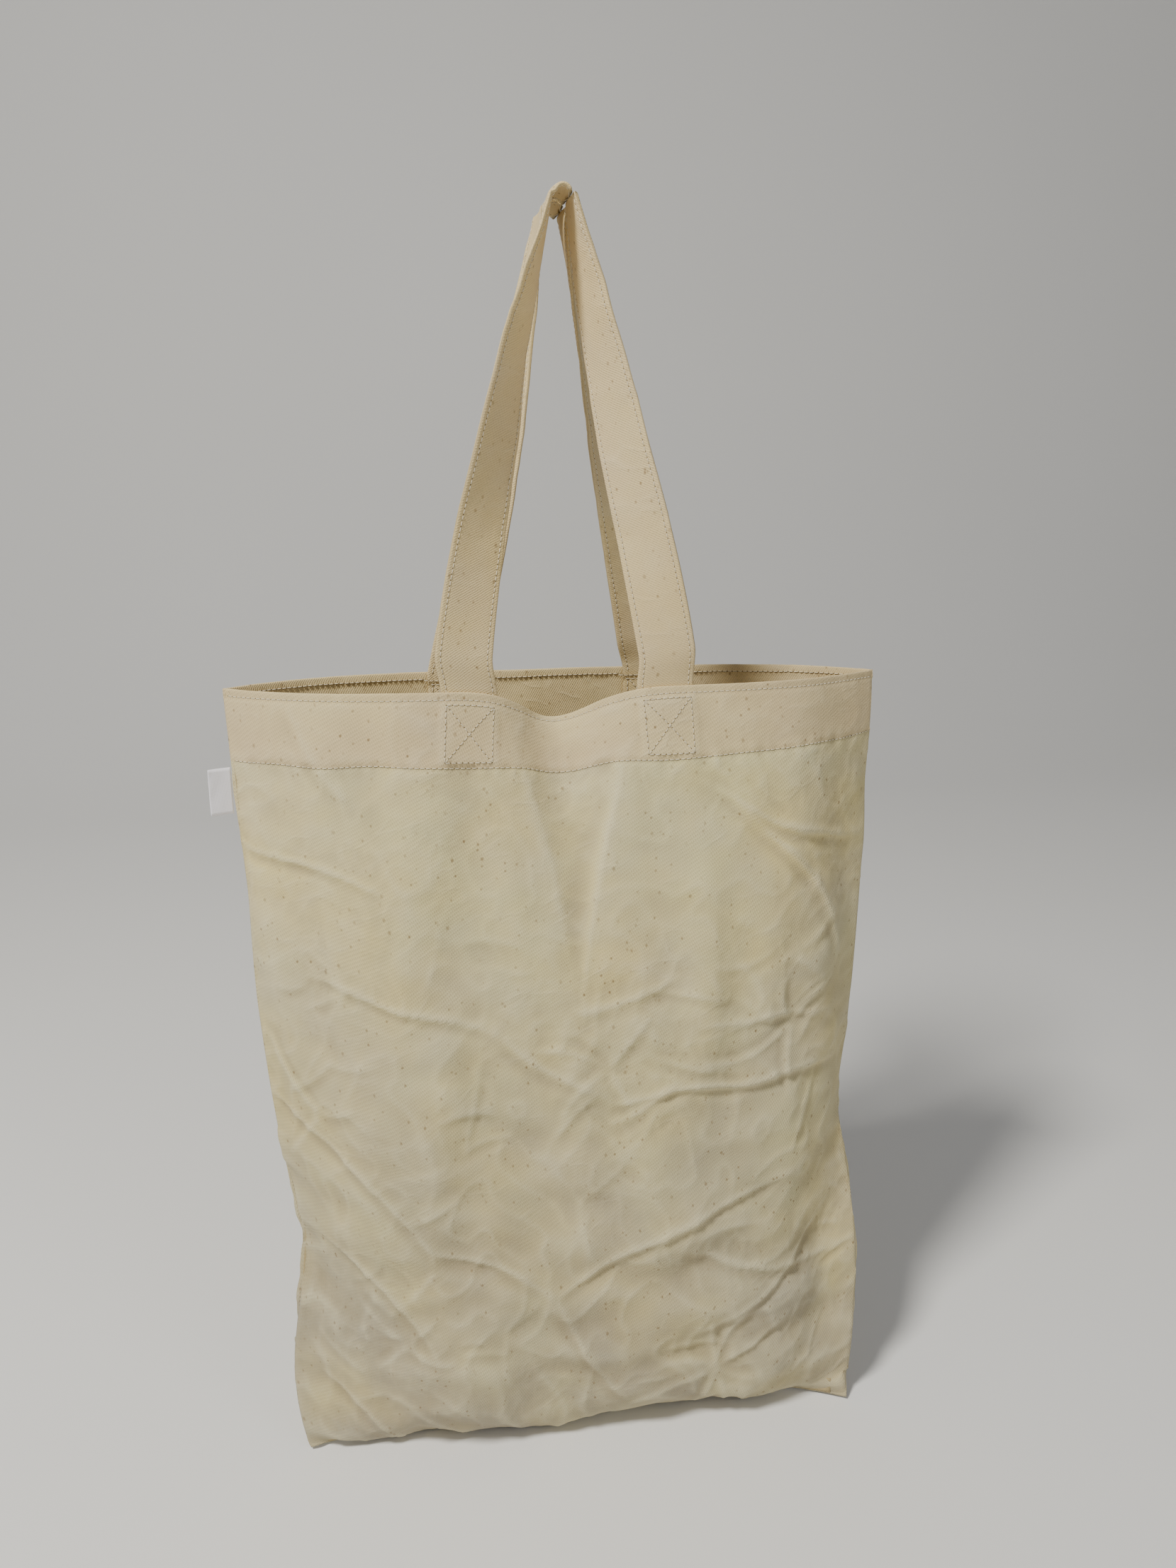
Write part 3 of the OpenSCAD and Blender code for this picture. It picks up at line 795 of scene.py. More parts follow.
# ---- handles ----
STRAP_T_MM = 1.9            # thickness of a strap
STRAP_GAP_MM = 0.1          # from the hem's facing to a strap end
STRAP_END_MM = 37.0         # how far a strap end reaches down inside the hem
STRAP_STEP_MM = 2.2         # spacing of a strap's grid along its length
STRAP_LEG_MM = 252.0        # length of one leg, from the rim to the bend
BEND_MM = 5.0               # radius of a strap's middle line at the hanging point
TOP_Y_MM = 16.5             # from the mouth's plane to a strap's middle at the hanging point
BLEND_MM = 20.0             # height over which a strap leaves the line of the rim
# Legs of a handle: x and height above the rim, as the four points of a bezier curve.
LEGS_MM = {(FRONT, LEFT): [(-57, 0), (-49, 95), (-14, 190), (-5, 244)],
           (FRONT, RIGHT): [(57, 0), (42, 95), (12, 190), (5, 244)],
           (BACK, LEFT): [(-57, 0), (-41, 70), (-13, 180), (-5, 244)],
           (BACK, RIGHT): [(57, 0), (42, 95), (12, 190), (5, 244)]}
TWIST_POWER = 0.95          # how late up the leg a strap turns edge on
CUP_MM = 2.2                # how far a strap's edges turn in near the bend
EDGE_ROW_MM = STRAP_HALF_MM - 3.0       # strap's middle to each row of edge stitches
# Half a strap's outline: place across, and share of the half thickness.
FACE_MM = [(0, 1), (3.5, 1), (7, 1), (10, 1), (11.4, 0.98), (12.4, 0.8), (13.4, 0.97),
           (14.3, 0.93), (15.0, 0.72)]


def bezier(points, t):
    """Points along a bezier curve."""
    a, b, c, d = (np.array(p, float)[None] for p in points)
    t = np.asarray(t)[:, None]
    return a * (1 - t) ** 3 + 3 * b * t * (1 - t) ** 2 + 3 * c * t * t * (1 - t) + d * t ** 3


class Strap:
    """One handle's strap, from the end sewn inside the hem over the hanging point to the other."""

    def __init__(self, cloth):
        self.side = cloth.side
        half = np.array(FACE_MM)
        self.p = np.concatenate([-half[:0:-1, 0], half[:, 0]])
        share = np.concatenate([half[:0:-1, 1], half[:, 1]])
        legs = [self.leg(cloth, x_side) for x_side in (LEFT, RIGHT)]
        bend = self.bend()
        parts = [np.concatenate([legs[0][k], bend[k], legs[1][k][::-1]]) for k in range(3)]
        middle, across, facing = parts
        run = run_along(middle[:, len(self.p) // 2]) / MM
        self.run = run
        s, p = run[:, None], self.p[None]
        free = ease((s - 70) / 60) * ease((run[-1] - 70 - s) / 60)
        edge = np.abs(p) / STRAP_HALF_MM
        cup = self.cupping()[:, None] * (p / STRAP_HALF_MM) ** 2
        ripple = soft_noise(s / 21, np.sign(p) * 3 + p / 90, 57 + self.side)
        wave = free * (0.9 * soft_noise(s / 62, p / 60, 51 + self.side)
                       + 0.5 * crumple(s, p, 26, 63 + self.side) + 0.5 * edge ** 2 * ripple)
        pucker = 0.14 * bell((np.abs(p) - EDGE_ROW_MM) / 2) * soft_noise(s / 2.6, p / 8, 61)
        middle = middle + facing * ((cup + wave + pucker) * (s > 0))[..., None] * MM
        normal = self.normals(middle)
        thick = share[None, :, None] * STRAP_T_MM / 2 * MM
        self.outer = middle - normal * thick
        self.inner = middle + normal * thick
        self.normal = normal
        rounding = 0.4 * MM
        self.edges = [middle[:, -1] + across[:, -1] * rounding,
                      middle[:, 0] - across[:, 0] * rounding]

    def cupping(self):
        """How far the strap's two edges turn inwards, most of it on both sides of the bend."""
        top = self.run[-1] / 2
        return CUP_MM * (bell((self.run - top + 60) / 55) + bell((self.run - top - 60) / 55))

    def frame(self, points, angle):
        """Directions across the strap and out of its inner face."""
        along = unit(np.gradient(points, axis=0))
        a = np.radians(angle)
        w = np.stack([np.cos(a), -self.side * np.sin(a), 0 * a], -1)
        w = unit(w - along * np.sum(w * along, -1, keepdims=True))
        return w, unit(np.cross(along, w)) * -self.side

    def leg(self, cloth, x_side):
        """Points, across and facing directions of one leg, from the sewn end up to the bend."""
        t = np.linspace(0, 1, round(STRAP_LEG_MM / STRAP_STEP_MM))
        flat = bezier(LEGS_MM[self.side, x_side], t)
        depth = lerp(STRAP_RIM_Y / MM, TOP_Y_MM, ease(t))
        centre = np.stack([flat[:, 0], MOUTH_Y / MM + self.side * depth,
                           RIM_Z / MM + flat[:, 1]], -1) * MM
        angle = 90 * t ** TWIST_POWER
        if x_side == RIGHT:
            angle = -angle
        w, n = self.frame(centre, angle)
        loop = centre[:, None] + w[:, None] * self.p[None, :, None] * MM
        inside = LAYERS_MM + STRAP_GAP_MM + STRAP_T_MM / 2
        at_rim, rim_n = cloth.at(x_side * STRAP_X_MM + self.p, FLAT_HIGH_MM, inside)
        rise = np.stack([flat[:, 0] - flat[0, 0], 0 * t, flat[:, 1]], -1) * MM
        straight = at_rim[None] + rise[:, None]
        keep = (1 - ease(flat[:, 1] / BLEND_MM))[:, None, None]
        free = lerp(loop, straight, keep)
        free_w = unit(lerp(w[:, None] + 0 * loop, self.row_across(at_rim)[None] + 0 * loop, keep))
        free_n = unit(lerp(n[:, None] + 0 * loop, -rim_n[None] + 0 * loop, keep))
        down = np.arange(STRAP_END_MM, STRAP_STEP_MM / 2, -STRAP_STEP_MM)
        x, y = np.meshgrid(x_side * STRAP_X_MM + self.p, FLAT_HIGH_MM - down)
        sewn_end, sewn_n = cloth.at(x, y, inside)
        sewn_w = np.stack([self.row_across(row) for row in sewn_end])
        return (np.concatenate([sewn_end, free]), np.concatenate([sewn_w, free_w]),
                np.concatenate([-sewn_n, free_n]))

    def row_across(self, row):
        """Directions along one row of points across the strap."""
        return unit(np.gradient(row, axis=0))

    def bend(self):
        """The half turn over the hanging point."""
        a = np.radians(np.arange(15, 180, 15))
        low, high = (np.array(LEGS_MM[self.side, x_side][3]) for x_side in (LEFT, RIGHT))
        middle = (low + high) / 2
        centre = np.stack([middle[0] - BEND_MM * np.cos(a),
                           0 * a + MOUTH_Y / MM + self.side * TOP_Y_MM,
                           RIM_Z / MM + middle[1] + BEND_MM * np.sin(a)], -1) * MM
        w = np.tile([0.0, -self.side, 0.0], (len(a), 1))
        n = unit(np.stack([middle[0] * MM - centre[:, 0], 0 * a,
                           (RIM_Z + middle[1] * MM) - centre[:, 2]], -1))
        points = centre[:, None] + w[:, None] * self.p[None, :, None] * MM
        return points, w[:, None] + 0 * points, n[:, None] + 0 * points

    def normals(self, grid):
        """Out of the inner face, which looks at the mouth or down at the hanging point."""
        return unit(np.cross(np.gradient(grid, axis=0), np.gradient(grid, axis=1))) * -self.side

    def at(self, face, s, p):
        """A point and outward direction on one face: s along the strap and p across."""
        grid = self.inner if face == "inner" else self.outer
        column = int(np.argmin(np.abs(self.p - p)))
        n = places(s, self.run, self.normal[:, column])
        return places(s, self.run, grid[:, column]), unit(n) * (1 if face == "inner" else -1)

    def solid(self, name, material):
        """The strap as a closed piece, with its two ends capped."""
        count = len(self.p)
        ring = np.concatenate([self.outer, self.edges[0][:, None], self.inner[:, ::-1],
                               self.edges[1][:, None]], axis=1)
        faces = grid_faces(len(ring), ring.shape[1], flip=self.side == BACK, around=True)
        across = np.concatenate([self.p, [STRAP_HALF_MM], self.p[::-1] + 40, [40 - STRAP_HALF_MM]])
        uv = np.stack(np.broadcast_arrays(across[None] * MM, self.run[:, None] * MM), -1)
        j = np.arange(count - 1)
        partner = 2 * count - j
        cap = np.stack([j, j + 1, partner - 1, partner], -1)
        end = (len(ring) - 1) * ring.shape[1]
        faces = np.concatenate([faces, cap[:, ::-1], cap + end])
        return mesh_piece(name, ring, faces, uv, [material])


def handle(cloth, material, thread_materials):
    """A handle with its two sewn ends and two rows of edge stitches."""
    side = SIDE_NAME[cloth.side]
    strap = Strap(cloth)
    piece = strap.solid(side + "_strap", material)
    node = side + "_handle"
    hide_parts(node, node + "_end_left", node + "_end_right")
    rows = [edge_stitches(strap, node, row, edge, thread_materials)
            for row, edge in (("outer", -1), ("inner", 1))]
    for part in [piece] + rows:
        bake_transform(part)


def edge_stitches(strap, node, row, edge, materials):
    """One row of stitches along a strap, with its thread on both faces."""
    first, last = STRAP_END_MM + STITCH_MM / 2, strap.run[-1] - STRAP_END_MM - STITCH_MM / 2
    count = round((last - first) / STITCH_MM)
    s = np.linspace(first, last, count + 1)[:-1]
    gap = STITCH_MM * (1 - STITCH_SHARE) / 2
    sets = []
    for face in ("outer", "inner"):
        shift = 0 if face == "outer" else STITCH_MM / 2
        a, na = strap.at(face, s + gap + shift, edge * EDGE_ROW_MM)
        b, nb = strap.at(face, s + STITCH_MM - gap + shift, edge * EDGE_ROW_MM)
        sets.append((a, b, unit(na + nb)))
    laid = (np.concatenate(values) for values in zip(*sets))
    piece = stitches("%s_%s_stitches" % (node, row), *laid, materials)
    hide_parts("%s_%s_stitching" % (node, row))
    return piece


# ---- label ----
LABEL_OUT_MM = 10.6         # seam to the label's folded edge
LABEL_TURN = math.radians(200)          # direction it points in, from +X towards +Y
LABEL_FOLD_MM = 0.32        # radius of its fold
LABEL_PINCH_MM = 0.18       # half of its thickness at the seam
LABEL_CAUGHT_MM = 1.6       # how far it reaches into the seam


def side_label(material):
    """A blank woven tape folded in half and caught in the left seam."""
    low, high = LABEL_LOWEST[2], LABEL_HIGHEST[2]
    out = np.array([math.cos(LABEL_TURN), math.sin(LABEL_TURN), 0])
    side = np.array([-math.sin(LABEL_TURN), math.cos(LABEL_TURN), 0])
    start = np.array([LABEL_HIGHEST[0] - 0.0002, LABEL_HIGHEST[1] - 0.0004, 0])
    r, tip = LABEL_FOLD_MM, LABEL_OUT_MM - LABEL_FOLD_MM
    q = np.linspace(-LABEL_CAUGHT_MM, tip, 15)
    leg = LABEL_PINCH_MM + (r - LABEL_PINCH_MM) * ease(q / 7)
    a = np.radians(np.arange(70, -71, -20))
    path = np.array([(x, y) for x, y in zip(q, leg)]
                    + [(tip + r * math.cos(t), r * math.sin(t)) for t in a]
                    + [(x, -y) for x, y in zip(q[::-1], leg[::-1])])
    zs = np.linspace(low, high, 15)
    run = run_along(path)
    up = (zs - low) / (high - low)
    reach = path[None, :, 0] / LABEL_OUT_MM
    curl = 0.9 * (up[:, None] - 0.45) ** 2 * reach ** 2 * 4
    curl = curl + 0.35 * soft_noise(up[:, None] * 3, path[None, :, 0] / 6, 71)
    sideways = path[None, :, 1] + curl * reach
    points = (start + path[None, :, 0, None] * out * MM + sideways[..., None] * side * MM
              + zs[:, None, None] * np.array([0, 0, 1.0]))
    uv = np.stack(np.broadcast_arrays(run[None] * MM, zs[:, None] - low), -1)
    piece = mesh_piece("side_label_tape", points, grid_faces(*points.shape[:2]), uv, [material])
    thickened(piece, 0.2, offset=0)
    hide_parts("side_label")
    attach(piece, "side_label")


# ---- shader node groups ----
TWILL_PITCH = 0.00115       # metres from rib to rib
LABEL_PITCH = 0.0005


class Nodes:
    """A short hand for wiring a node tree."""

    def __init__(self, tree):
        self.tree = tree

    def feed(self, socket, value):
        """Wires a socket to another node, or sets its own value."""
        if isinstance(value, bpy.types.NodeSocket):
            self.tree.links.new(value, socket)
        else:
            socket.default_value = value

    def add(self, kind, inputs=(), out=0, **settings):
        """A new node of a kind, with its settings and inputs. Gives one of its outputs."""
        node = self.tree.nodes.new("ShaderNode" + kind)
        for key, value in settings.items():
            setattr(node, key, value)
        for key, value in dict(inputs).items():
            self.feed(node.inputs[key], value)
        return node.outputs[out]

    def math(self, operation, a, b=0.0, clamp=False):
        """One operation on one or two values."""
        return self.add("Math", {0: a, 1: b}, operation=operation, use_clamp=clamp)

    def remap(self, value, low, high, to_low=0.0, to_high=1.0):
        """A value moved from one range to another, and held inside it."""
        return self.add("MapRange", {"Value": value, "From Min": low, "From Max": high,
                                     "To Min": to_low, "To Max": to_high}, clamp=True)

    def mix(self, factor, a, b):
        """Two colours blended."""
        return self.add("Mix", {0: factor, 6: a, 7: b}, out=2, data_type="RGBA")

    def tint(self, color, mask, amount, tone):
        """The colour moved towards a tone, by a share of a mask."""
        return self.mix(self.math("MULTIPLY", mask, amount), color, tone)

    def place(self, tree, vector, **values):
        """One of the shared groups in a material, with its own values."""
        node = self.tree.nodes.new("ShaderNodeGroup")
        node.node_tree = tree
        for key, value in {"Vector": vector, **values}.items():
            self.feed(node.inputs[key], value)
        return node.outputs

    def noise(self, vector, scale, detail=2.0, rough=0.5):
        """Smooth noise from 0 to 1."""
        return self.add("TexNoise", {"Vector": vector, "Scale": scale, "Detail": detail,
                                     "Roughness": rough})


def group(name, inputs, outputs):
    """A shader node group with named sockets."""
    tree = bpy.data.node_groups.new(name, "ShaderNodeTree")
    for direction, sockets in (("INPUT", inputs), ("OUTPUT", outputs)):
        for label, kind in sockets:
            tree.interface.new_socket(label, in_out=direction, socket_type="NodeSocket" + kind)
    start = tree.nodes.new("NodeGroupInput").outputs
    end = tree.nodes.new("NodeGroupOutput").inputs
    return Nodes(tree), start, end


def twill_group():
    """Diagonal ribs of small uneven floats, from 0 between the threads to 1 on top of them."""
    n, start, end = group("Twill weave",
                          [("Vector", "Vector"), ("Pitch", "Float"), ("Slant", "Float")],
                          [("Height", "Float"), ("Unevenness", "Float")])
    wobble = n.noise(start["Vector"], 420.0, 2.0)
    slow = n.noise(start["Vector"], 60.0, 1.0)
    turned = n.add("VectorRotate", {"Vector": start["Vector"], "Angle": start["Slant"]},
                   rotation_type="Z_AXIS")
    parts = n.tree.nodes.new("ShaderNodeSeparateXYZ")
    n.feed(parts.inputs[0], turned)
    per = n.math("DIVIDE", 6.2832, start["Pitch"])
    shift = n.math("ADD", n.math("MULTIPLY", wobble, 2.6), n.math("MULTIPLY", slow, 5.0))
    rib = n.math("SINE", n.math("ADD", n.math("MULTIPLY", parts.outputs[0], per), shift))
    floats = n.math("SINE", n.math("ADD", n.math("MULTIPLY", parts.outputs[1],
                                                 n.math("MULTIPLY", per, 0.62)),
                                   n.math("MULTIPLY", rib, 1.4)))
    height = n.math("ADD", n.math("MULTIPLY", rib, 0.36), n.math("MULTIPLY", floats, 0.16))
    n.feed(end["Height"], n.math("ADD", height, 0.5))
    n.feed(end["Unevenness"], n.remap(n.noise(start["Vector"], 900.0, 3.0), 0.3, 0.7))
    return n.tree


def flecks_group():
    """Small dark bits of seed and a few smudges."""
    n, start, end = group("Seed flecks", [("Vector", "Vector"), ("Share", "Float")],
                          [("Flecks", "Float"), ("Smudges", "Float")])
    total = None
    for scale, size in ((115.0, 0.085), (210.0, 0.12)):
        stretched = n.add("VectorMath", {0: start["Vector"], 1: (1.0, 0.8, 1.0)},
                          operation="MULTIPLY")
        cells = n.tree.nodes.new("ShaderNodeTexVoronoi")
        cells.inputs["Scale"].default_value = scale
        n.feed(cells.inputs["Vector"], stretched)
        picked = n.math("LESS_THAN", n.add("SeparateColor", {0: cells.outputs["Color"]}),
                        start["Share"])
        dot = n.remap(cells.outputs["Distance"], size * 0.6, size * 1.6, 1.0, 0.0)
        dot = n.math("MULTIPLY", dot, picked)
        total = dot if total is None else n.math("MAXIMUM", total, dot)
    clusters = n.remap(n.noise(start["Vector"], 26.0, 2.0), 0.35, 0.65, 0.25, 1.0)
    n.feed(end["Flecks"], n.math("MULTIPLY", total, clusters))
    smudge = n.remap(n.noise(start["Vector"], 95.0, 3.0), 0.73, 0.80)
    n.feed(end["Smudges"], smudge)
    return n.tree


def patches_group():
    """Slow changes of tone over the cloth: large patches and fine streaks along its threads."""
    n, start, end = group("Patchy tone", [("Vector", "Vector")],
                          [("Large", "Float"), ("Other", "Float"), ("Fine", "Float")])
    n.feed(end["Large"], n.remap(n.noise(start["Vector"], 9.0, 3.0, 0.6), 0.36, 0.64))
    moved = n.add("VectorMath", {0: start["Vector"], 1: (3.7, 1.9, 0.0)}, operation="ADD")
    n.feed(end["Other"], n.remap(n.noise(moved, 13.0, 3.0, 0.6), 0.40, 0.66))
    along = n.add("VectorMath", {0: start["Vector"], 1: (900.0, 45.0, 1.0)}, operation="MULTIPLY")
    across = n.add("VectorMath", {0: start["Vector"], 1: (45.0, 900.0, 1.0)}, operation="MULTIPLY")
    fine = n.math("ADD", n.noise(along, 1.0, 1.0), n.noise(across, 1.0, 1.0))
    n.feed(end["Fine"], n.remap(fine, 0.7, 1.3))
    return n.tree


def creases_group():
    """Fine creases, too small for the mesh: thin lines from 0 in the flats to 1 on a crease."""
    n, start, end = group("Fine creases", [("Vector", "Vector")], [("Height", "Float")])
    shift = n.add("VectorMath", {0: n.add("TexNoise", {"Vector": start["Vector"], "Scale": 24.0,
                                                       "Detail": 2.0}, out=1),
                                 1: (0.022, 0.022, 0.022)}, operation="MULTIPLY")
    bent = n.add("VectorMath", {0: start["Vector"], 1: shift}, operation="ADD")
    turned = n.add("VectorRotate", {"Vector": bent, "Angle": -0.35}, rotation_type="Z_AXIS")
    bent = n.add("VectorMath", {0: turned, 1: (0.45, 1.0, 1.0)}, operation="MULTIPLY")
    total = None
    for scale, share in ((30.0, 0.6), (75.0, 0.4)):
        cells = n.tree.nodes.new("ShaderNodeTexVoronoi")
        cells.feature = "DISTANCE_TO_EDGE"
        cells.inputs["Scale"].default_value = scale
        n.feed(cells.inputs["Vector"], bent)
        line = n.math("POWER", n.remap(cells.outputs[0], 0.0, 0.22, 1.0, 0.0), 2.5)
        mask = n.remap(n.noise(start["Vector"], scale * 0.6, 2.0), 0.48, 0.66)
        line = n.math("MULTIPLY", n.math("MULTIPLY", line, mask), share)
        total = line if total is None else n.math("ADD", total, line)
    n.feed(end["Height"], total)
    return n.tree


def linear(r, g, b):
    """A colour given in 0 to 255 steps, as light."""
    def one(v):
        v /= 255
        return v / 12.92 if v <= 0.04045 else ((v + 0.055) / 1.055) ** 2.4
    return (one(r), one(g), one(b), 1.0)


def principled(name, roughness, sheen=0.0):
    """A material with one shader, and the means to wire it."""
    material = bpy.data.materials.new(name)
    material.use_nodes = True
    tree = material.node_tree
    shader = tree.nodes["Principled BSDF"]
    shader.inputs["Roughness"].default_value = roughness
    shader.inputs["Specular IOR Level"].default_value = 0.25
    shader.inputs["Sheen Weight"].default_value = sheen
    shader.inputs["Sheen Roughness"].default_value = 0.6
    return material, Nodes(tree), shader


def hem_tone_and_painted_light(n, uv, patches, color):
    """A warmer doubled hem, which is the cloth's own tone, and painted light: painted shade darker
    and greyer towards the base, painted shade in the hollows of the folds and a painted highlight
    on the raised folds.
    """
    parts = n.tree.nodes.new("ShaderNodeSeparateXYZ")
    n.feed(parts.inputs[0], uv)
    top = (FLAT_HIGH_MM - HEM_MM) * MM
    doubled = n.remap(parts.outputs[1], top - 0.0006, top + 0.0006, 0.0, 0.75)
    color = n.mix(doubled, color, n.mix(patches["Large"], linear(229, 206, 155),
                                        linear(216, 190, 146)))
    # Painted shade: the cloth darker and greyer towards the base, in patches.
    painted_base_shade = n.math("MULTIPLY", n.remap(parts.outputs[1], 0.05, 0.36, 0.95, 0.0),
                   n.remap(n.noise(uv, 16.0, 3.0), 0.22, 0.62))
    color = n.mix(painted_base_shade, color, linear(160, 152, 134))
    # Painted shade in the hollows of the folds and a painted highlight on the raised folds.
    relief_shading = n.add("Attribute", out=2, attribute_name="relief_shading", attribute_type="GEOMETRY")
    color = n.mix(n.remap(relief_shading, 0.0, 0.5, 0.5, 0.0), color, linear(146, 132, 102))
    color = n.mix(n.remap(relief_shading, 0.5, 1.0, 0.0, 0.38), color, linear(240, 234, 198))
    return color


def yarn(name, color, scale):
    """Twisted thread, seen in the object's own space because it is too fine for a flat map."""
    material, n, shader = principled(name, 0.8, 0.1)
    place = n.add("TexCoord", out=3)
    fibre = n.noise(place, scale, 2.0)
    dark = tuple(0.72 * c for c in color[:3]) + (1.0,)
    n.feed(shader.inputs["Base Color"], n.mix(n.remap(fibre, 0.35, 0.6), dark, color))
    bump = n.add("Bump", {"Height": fibre, "Strength": 0.4, "Distance": 0.0001})
    n.feed(shader.inputs["Normal"], bump)
    return material


def needle_hole_shade():
    """Painted shade: a dark disc where a needle hole is."""
    material, n, shader = principled("needle hole shade", 1.0)
    place = n.add("TexCoord", out=3)
    tone = n.mix(n.noise(place, 700.0), linear(104, 88, 62), linear(142, 124, 92))
    n.feed(shader.inputs["Base Color"], tone)
    return material


# Each cloth's cream, its pinkish patches and its yellow ones.
PANEL_TONES = linear(221, 213, 159), linear(208, 195, 158), linear(226, 205, 132)
STRAP_TONES = linear(229, 208, 158), linear(214, 190, 150), linear(228, 200, 132)
EDGE_TONES = linear(190, 172, 128), linear(172, 152, 112), linear(190, 166, 114)


class Finishes:
    """The materials of the bag, built once."""

    def __init__(self):
        self.twill = twill_group()
        self.flecks = flecks_group()
        self.patches = patches_group()
        self.creases = creases_group()
        self.panel = self.canvas("unbleached twill canvas", PANEL_TONES, slant=-0.52, share=0.6,
                                 creased=0.5, shaded_and_hemmed=True)
        self.strap = self.canvas("strap twill", STRAP_TONES, slant=0.95, share=0.75, creased=0.5)
        self.edge = self.canvas("raw seam edge", EDGE_TONES, slant=-0.52, share=0.2, creased=0.1)
        self.thread = yarn("cotton sewing thread", linear(232, 221, 194), 2600.0)
        self.overlock = yarn("overlock thread", linear(214, 202, 172), 2200.0)
        self.hole_shade = needle_hole_shade()
        self.label = self.woven_label()

    def canvas(self, name, tones, slant, share, creased, shaded_and_hemmed=False):
        """Twill cloth with patches, fine creases and seed flecks; it has painted shade between its
        threads and a painted highlight along its fine creases.
        """
        cream, pinkish, yellow = tones
        material, n, shader = principled(name, 0.88, 0.12)
        uv = n.add("UVMap", uv_map="cloth")
        weave = n.place(self.twill, uv, Pitch=TWILL_PITCH, Slant=slant)
        patches = n.place(self.patches, uv)
        flecks = n.place(self.flecks, uv, Share=share)
        creases_on = n.place(self.creases, uv)
        color = n.tint(cream, patches["Large"], 0.75, pinkish)
        color = n.tint(color, patches["Other"], 0.65, yellow)
        if shaded_and_hemmed:
            color = hem_tone_and_painted_light(n, uv, patches, color)
        color = n.tint(color, patches["Fine"], 0.2, linear(206, 188, 144))
        # Painted shade between the twill's threads, darkest where the weave is lowest.
        color = n.mix(n.remap(weave["Height"], 0.0, 0.55, 0.4, 0.0), color, linear(166, 148, 112))
        # Painted highlight along the fine creases.
        color = n.tint(color, creases_on["Height"], 0.2, linear(242, 234, 204))
        color = n.tint(color, flecks["Flecks"], 0.72, linear(122, 92, 58))
        color = n.tint(color, flecks["Smudges"], 0.34, linear(120, 104, 84))
        n.feed(shader.inputs["Base Color"], color)
        rough = n.remap(weave["Unevenness"], 0.0, 1.0, 0.82, 0.95)
        n.feed(shader.inputs["Roughness"], rough)
        height = n.math("ADD", weave["Height"], n.math("MULTIPLY", weave["Unevenness"], 0.35))
        fold_bump = n.add("Bump", {"Height": creases_on["Height"], "Strength": creased,
                                   "Distance": 0.001})
        bump = n.add("Bump", {"Height": height, "Strength": 0.55, "Distance": 0.00028,
                              "Normal": fold_bump})
        n.feed(shader.inputs["Normal"], bump)
        return material

    def woven_label(self):
        """Fine white tape, with painted shade between its threads."""
        material, n, shader = principled("woven label tape", 0.62, 0.25)
        uv = n.add("UVMap", uv_map="cloth")
        weave = n.place(self.twill, uv, Pitch=LABEL_PITCH, Slant=0.0)
        patches = n.place(self.patches, uv)
        color = n.tint(linear(250, 248, 254), patches["Large"], 0.4, linear(238, 234, 246))
        # Painted shade between the tape's threads.
        color = n.mix(n.remap(weave["Height"], 0.0, 0.5, 0.25, 0.0), color, linear(190, 188, 196))
        n.feed(shader.inputs["Base Color"], color)
        bump = n.add("Bump", {"Height": weave["Height"], "Strength": 0.4, "Distance": 0.0001})
        n.feed(shader.inputs["Normal"], bump)
        return material


# ---- camera, floor and light ----
CAMERA_PLACE = (-0.0874, -0.6380, 0.5511)
CAMERA_AZIMUTH, CAMERA_PITCH, CAMERA_ROLL = np.radians([-9.04, 14.25, 0.235])
CAMERA_LENS_MM = 27.03
SWEEP_Y, SWEEP_RADIUS = 1.4, 0.8        # where the floor starts to rise, and how tightly


def camera():
    """Stands a little left of the bag's middle, above its rim, and looks slightly down."""
    data = bpy.data.cameras.new("camera")
    data.sensor_width = 36.0
    data.lens = CAMERA_LENS_MM
    item = bpy.data.objects.new("camera", data)
    bpy.context.scene.collection.objects.link(item)
    flat = math.cos(CAMERA_PITCH)
    forward = np.array([-math.sin(CAMERA_AZIMUTH) * flat, math.cos(CAMERA_AZIMUTH) * flat,
                        -math.sin(CAMERA_PITCH)])
    turn = Vector(forward).to_track_quat("-Z", "Y").to_matrix()
    turn = Matrix.Rotation(CAMERA_ROLL, 3, Vector(forward)) @ turn
    item.matrix_world = Matrix.Translation(CAMERA_PLACE) @ turn.to_4x4()
    bpy.context.scene.camera = item


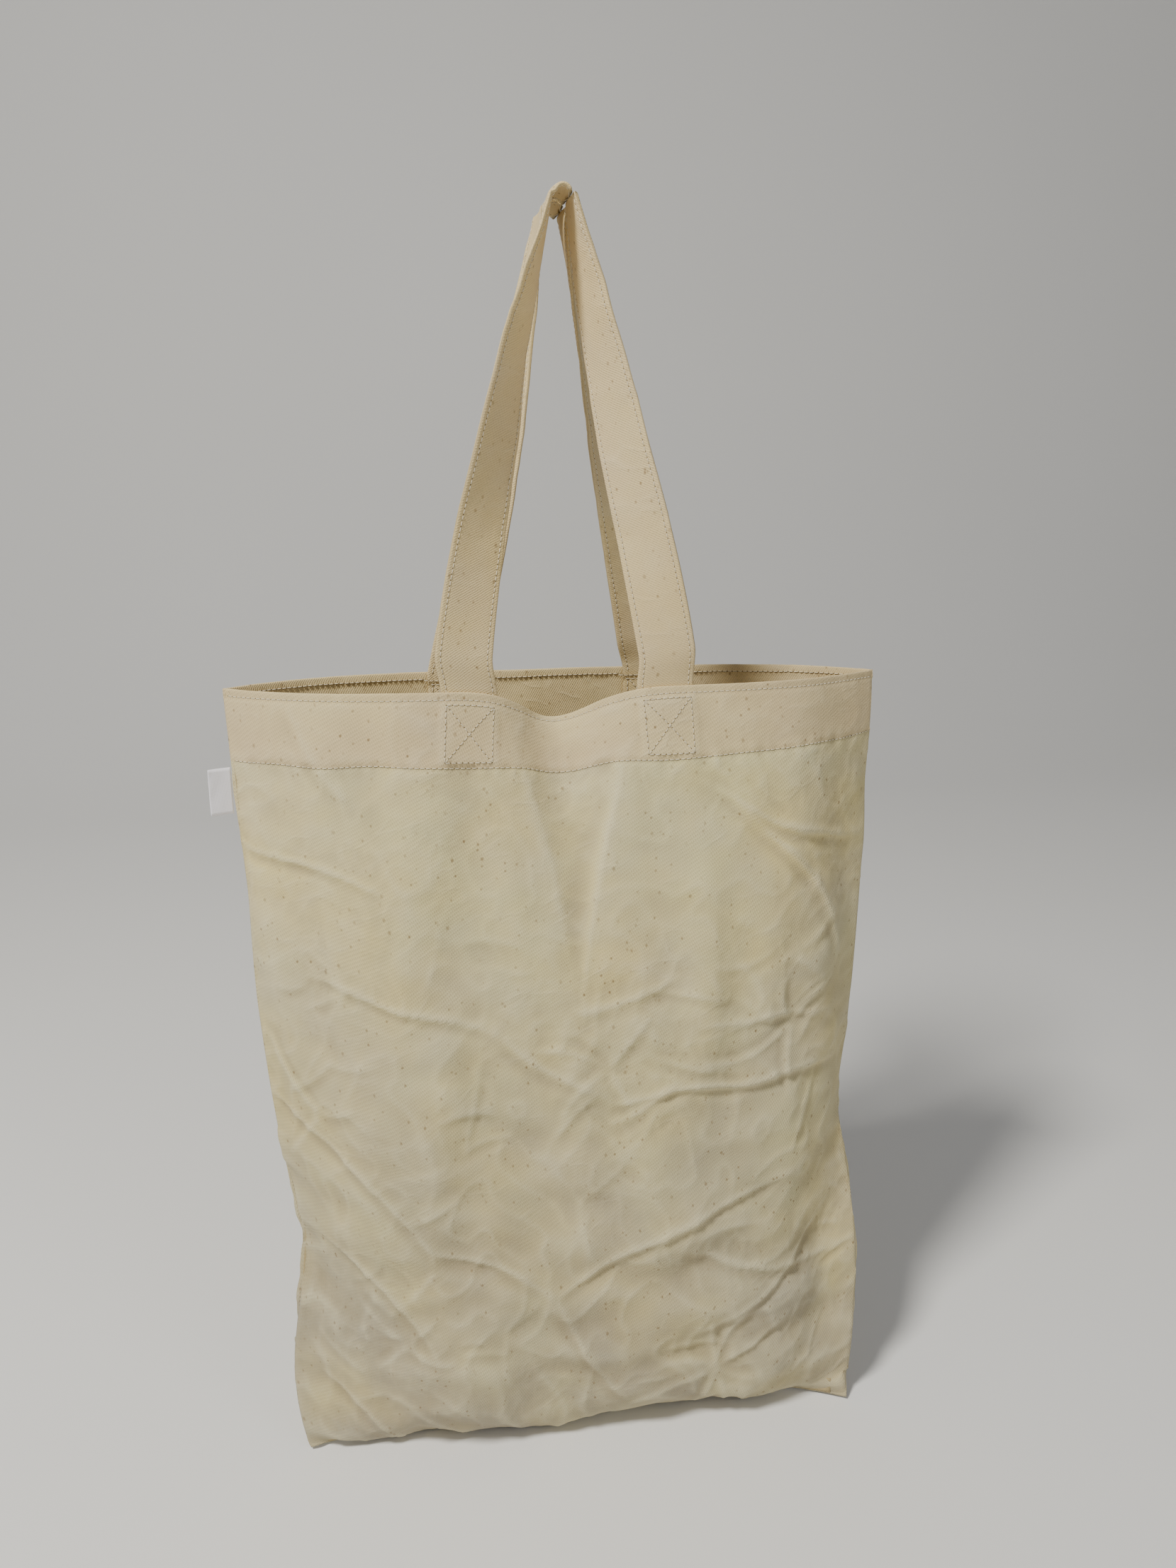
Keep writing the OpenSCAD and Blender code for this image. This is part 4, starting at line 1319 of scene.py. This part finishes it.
def floor():
    """A pale floor that sweeps up into a backdrop."""
    r = SWEEP_RADIUS
    profile = [(-3.0, 0.0), (SWEEP_Y, 0.0)]
    profile += [(SWEEP_Y + r * math.sin(a), r - r * math.cos(a))
                for a in np.radians(np.arange(10, 91, 10))]
    profile += [(SWEEP_Y + r, 4.0)]
    points = [(x, y, z) for y, z in profile for x in (-5.0, 5.0)]
    mesh = bpy.data.meshes.new("floor")
    mesh.from_pydata(points, [], grid_faces(len(profile), 2)[:, ::-1].tolist())
    mesh.polygons.foreach_set("use_smooth", np.full(len(mesh.polygons), True))
    material, n, shader = principled("studio floor", 0.9)
    tone = n.mix(n.noise(n.add("TexCoord", out=3), 1.5), linear(238, 237, 234),
                 linear(242, 241, 239))
    n.feed(shader.inputs["Base Color"], tone)
    mesh.materials.append(material)
    item = bpy.data.objects.new("floor", mesh)
    bpy.context.scene.collection.objects.link(item)


def area_light(name, place, aim, size, watts, color):
    """A round soft light at a place, turned towards a point."""
    data = bpy.data.lights.new(name, "AREA")
    data.shape = "DISK"
    data.size = size
    data.energy = watts
    data.color = color
    item = bpy.data.objects.new(name, data)
    item.location = place
    item.rotation_euler = (Vector(aim) - Vector(place)).to_track_quat("-Z", "Y").to_euler()
    bpy.context.scene.collection.objects.link(item)


def lights():
    """A pale surrounding, a warm key from the upper left and a weak fill from the right."""
    world = bpy.data.worlds.new("studio")
    world.use_nodes = True
    background = world.node_tree.nodes["Background"].inputs
    background["Color"].default_value = (0.93, 0.95, 1.0, 1.0)
    background["Strength"].default_value = 0.18
    bpy.context.scene.world = world
    area_light("key", (-1.05, -0.88, 2.1), (0, 0, 0.35), 0.45, 58.0, (1.0, 0.975, 0.91))
    area_light("fill", (1.5, -1.8, 1.3), (0, 0, 0.45), 1.2, 7.0, (0.96, 0.98, 1.0))


# ---- the bag ----
def build():
    """The camera and the finishes first, then the cloth, and then all that is laid on it."""
    camera()
    finishes = Finishes()
    front_grid, back_grid = simulated(held_still=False)
    front, back = Cloth(FRONT, front_grid), Cloth(BACK, back_grid)
    thread = [finishes.thread, finishes.hole_shade]
    for x_side in (LEFT, RIGHT):
        side_seam(x_side, front, back, finishes.edge, finishes.overlock)
    bottom_seam(front, finishes.edge, finishes.overlock)
    for cloth in (front, back):
        piece = canvas(cloth, finishes.panel)
        hem_stitches(cloth, thread)
        for x_side in (LEFT, RIGHT):
            box_stitches(cloth, x_side, thread)
        handle(cloth, finishes.strap, thread)
    side_label(finishes.label)
    floor()
    lights()


build()
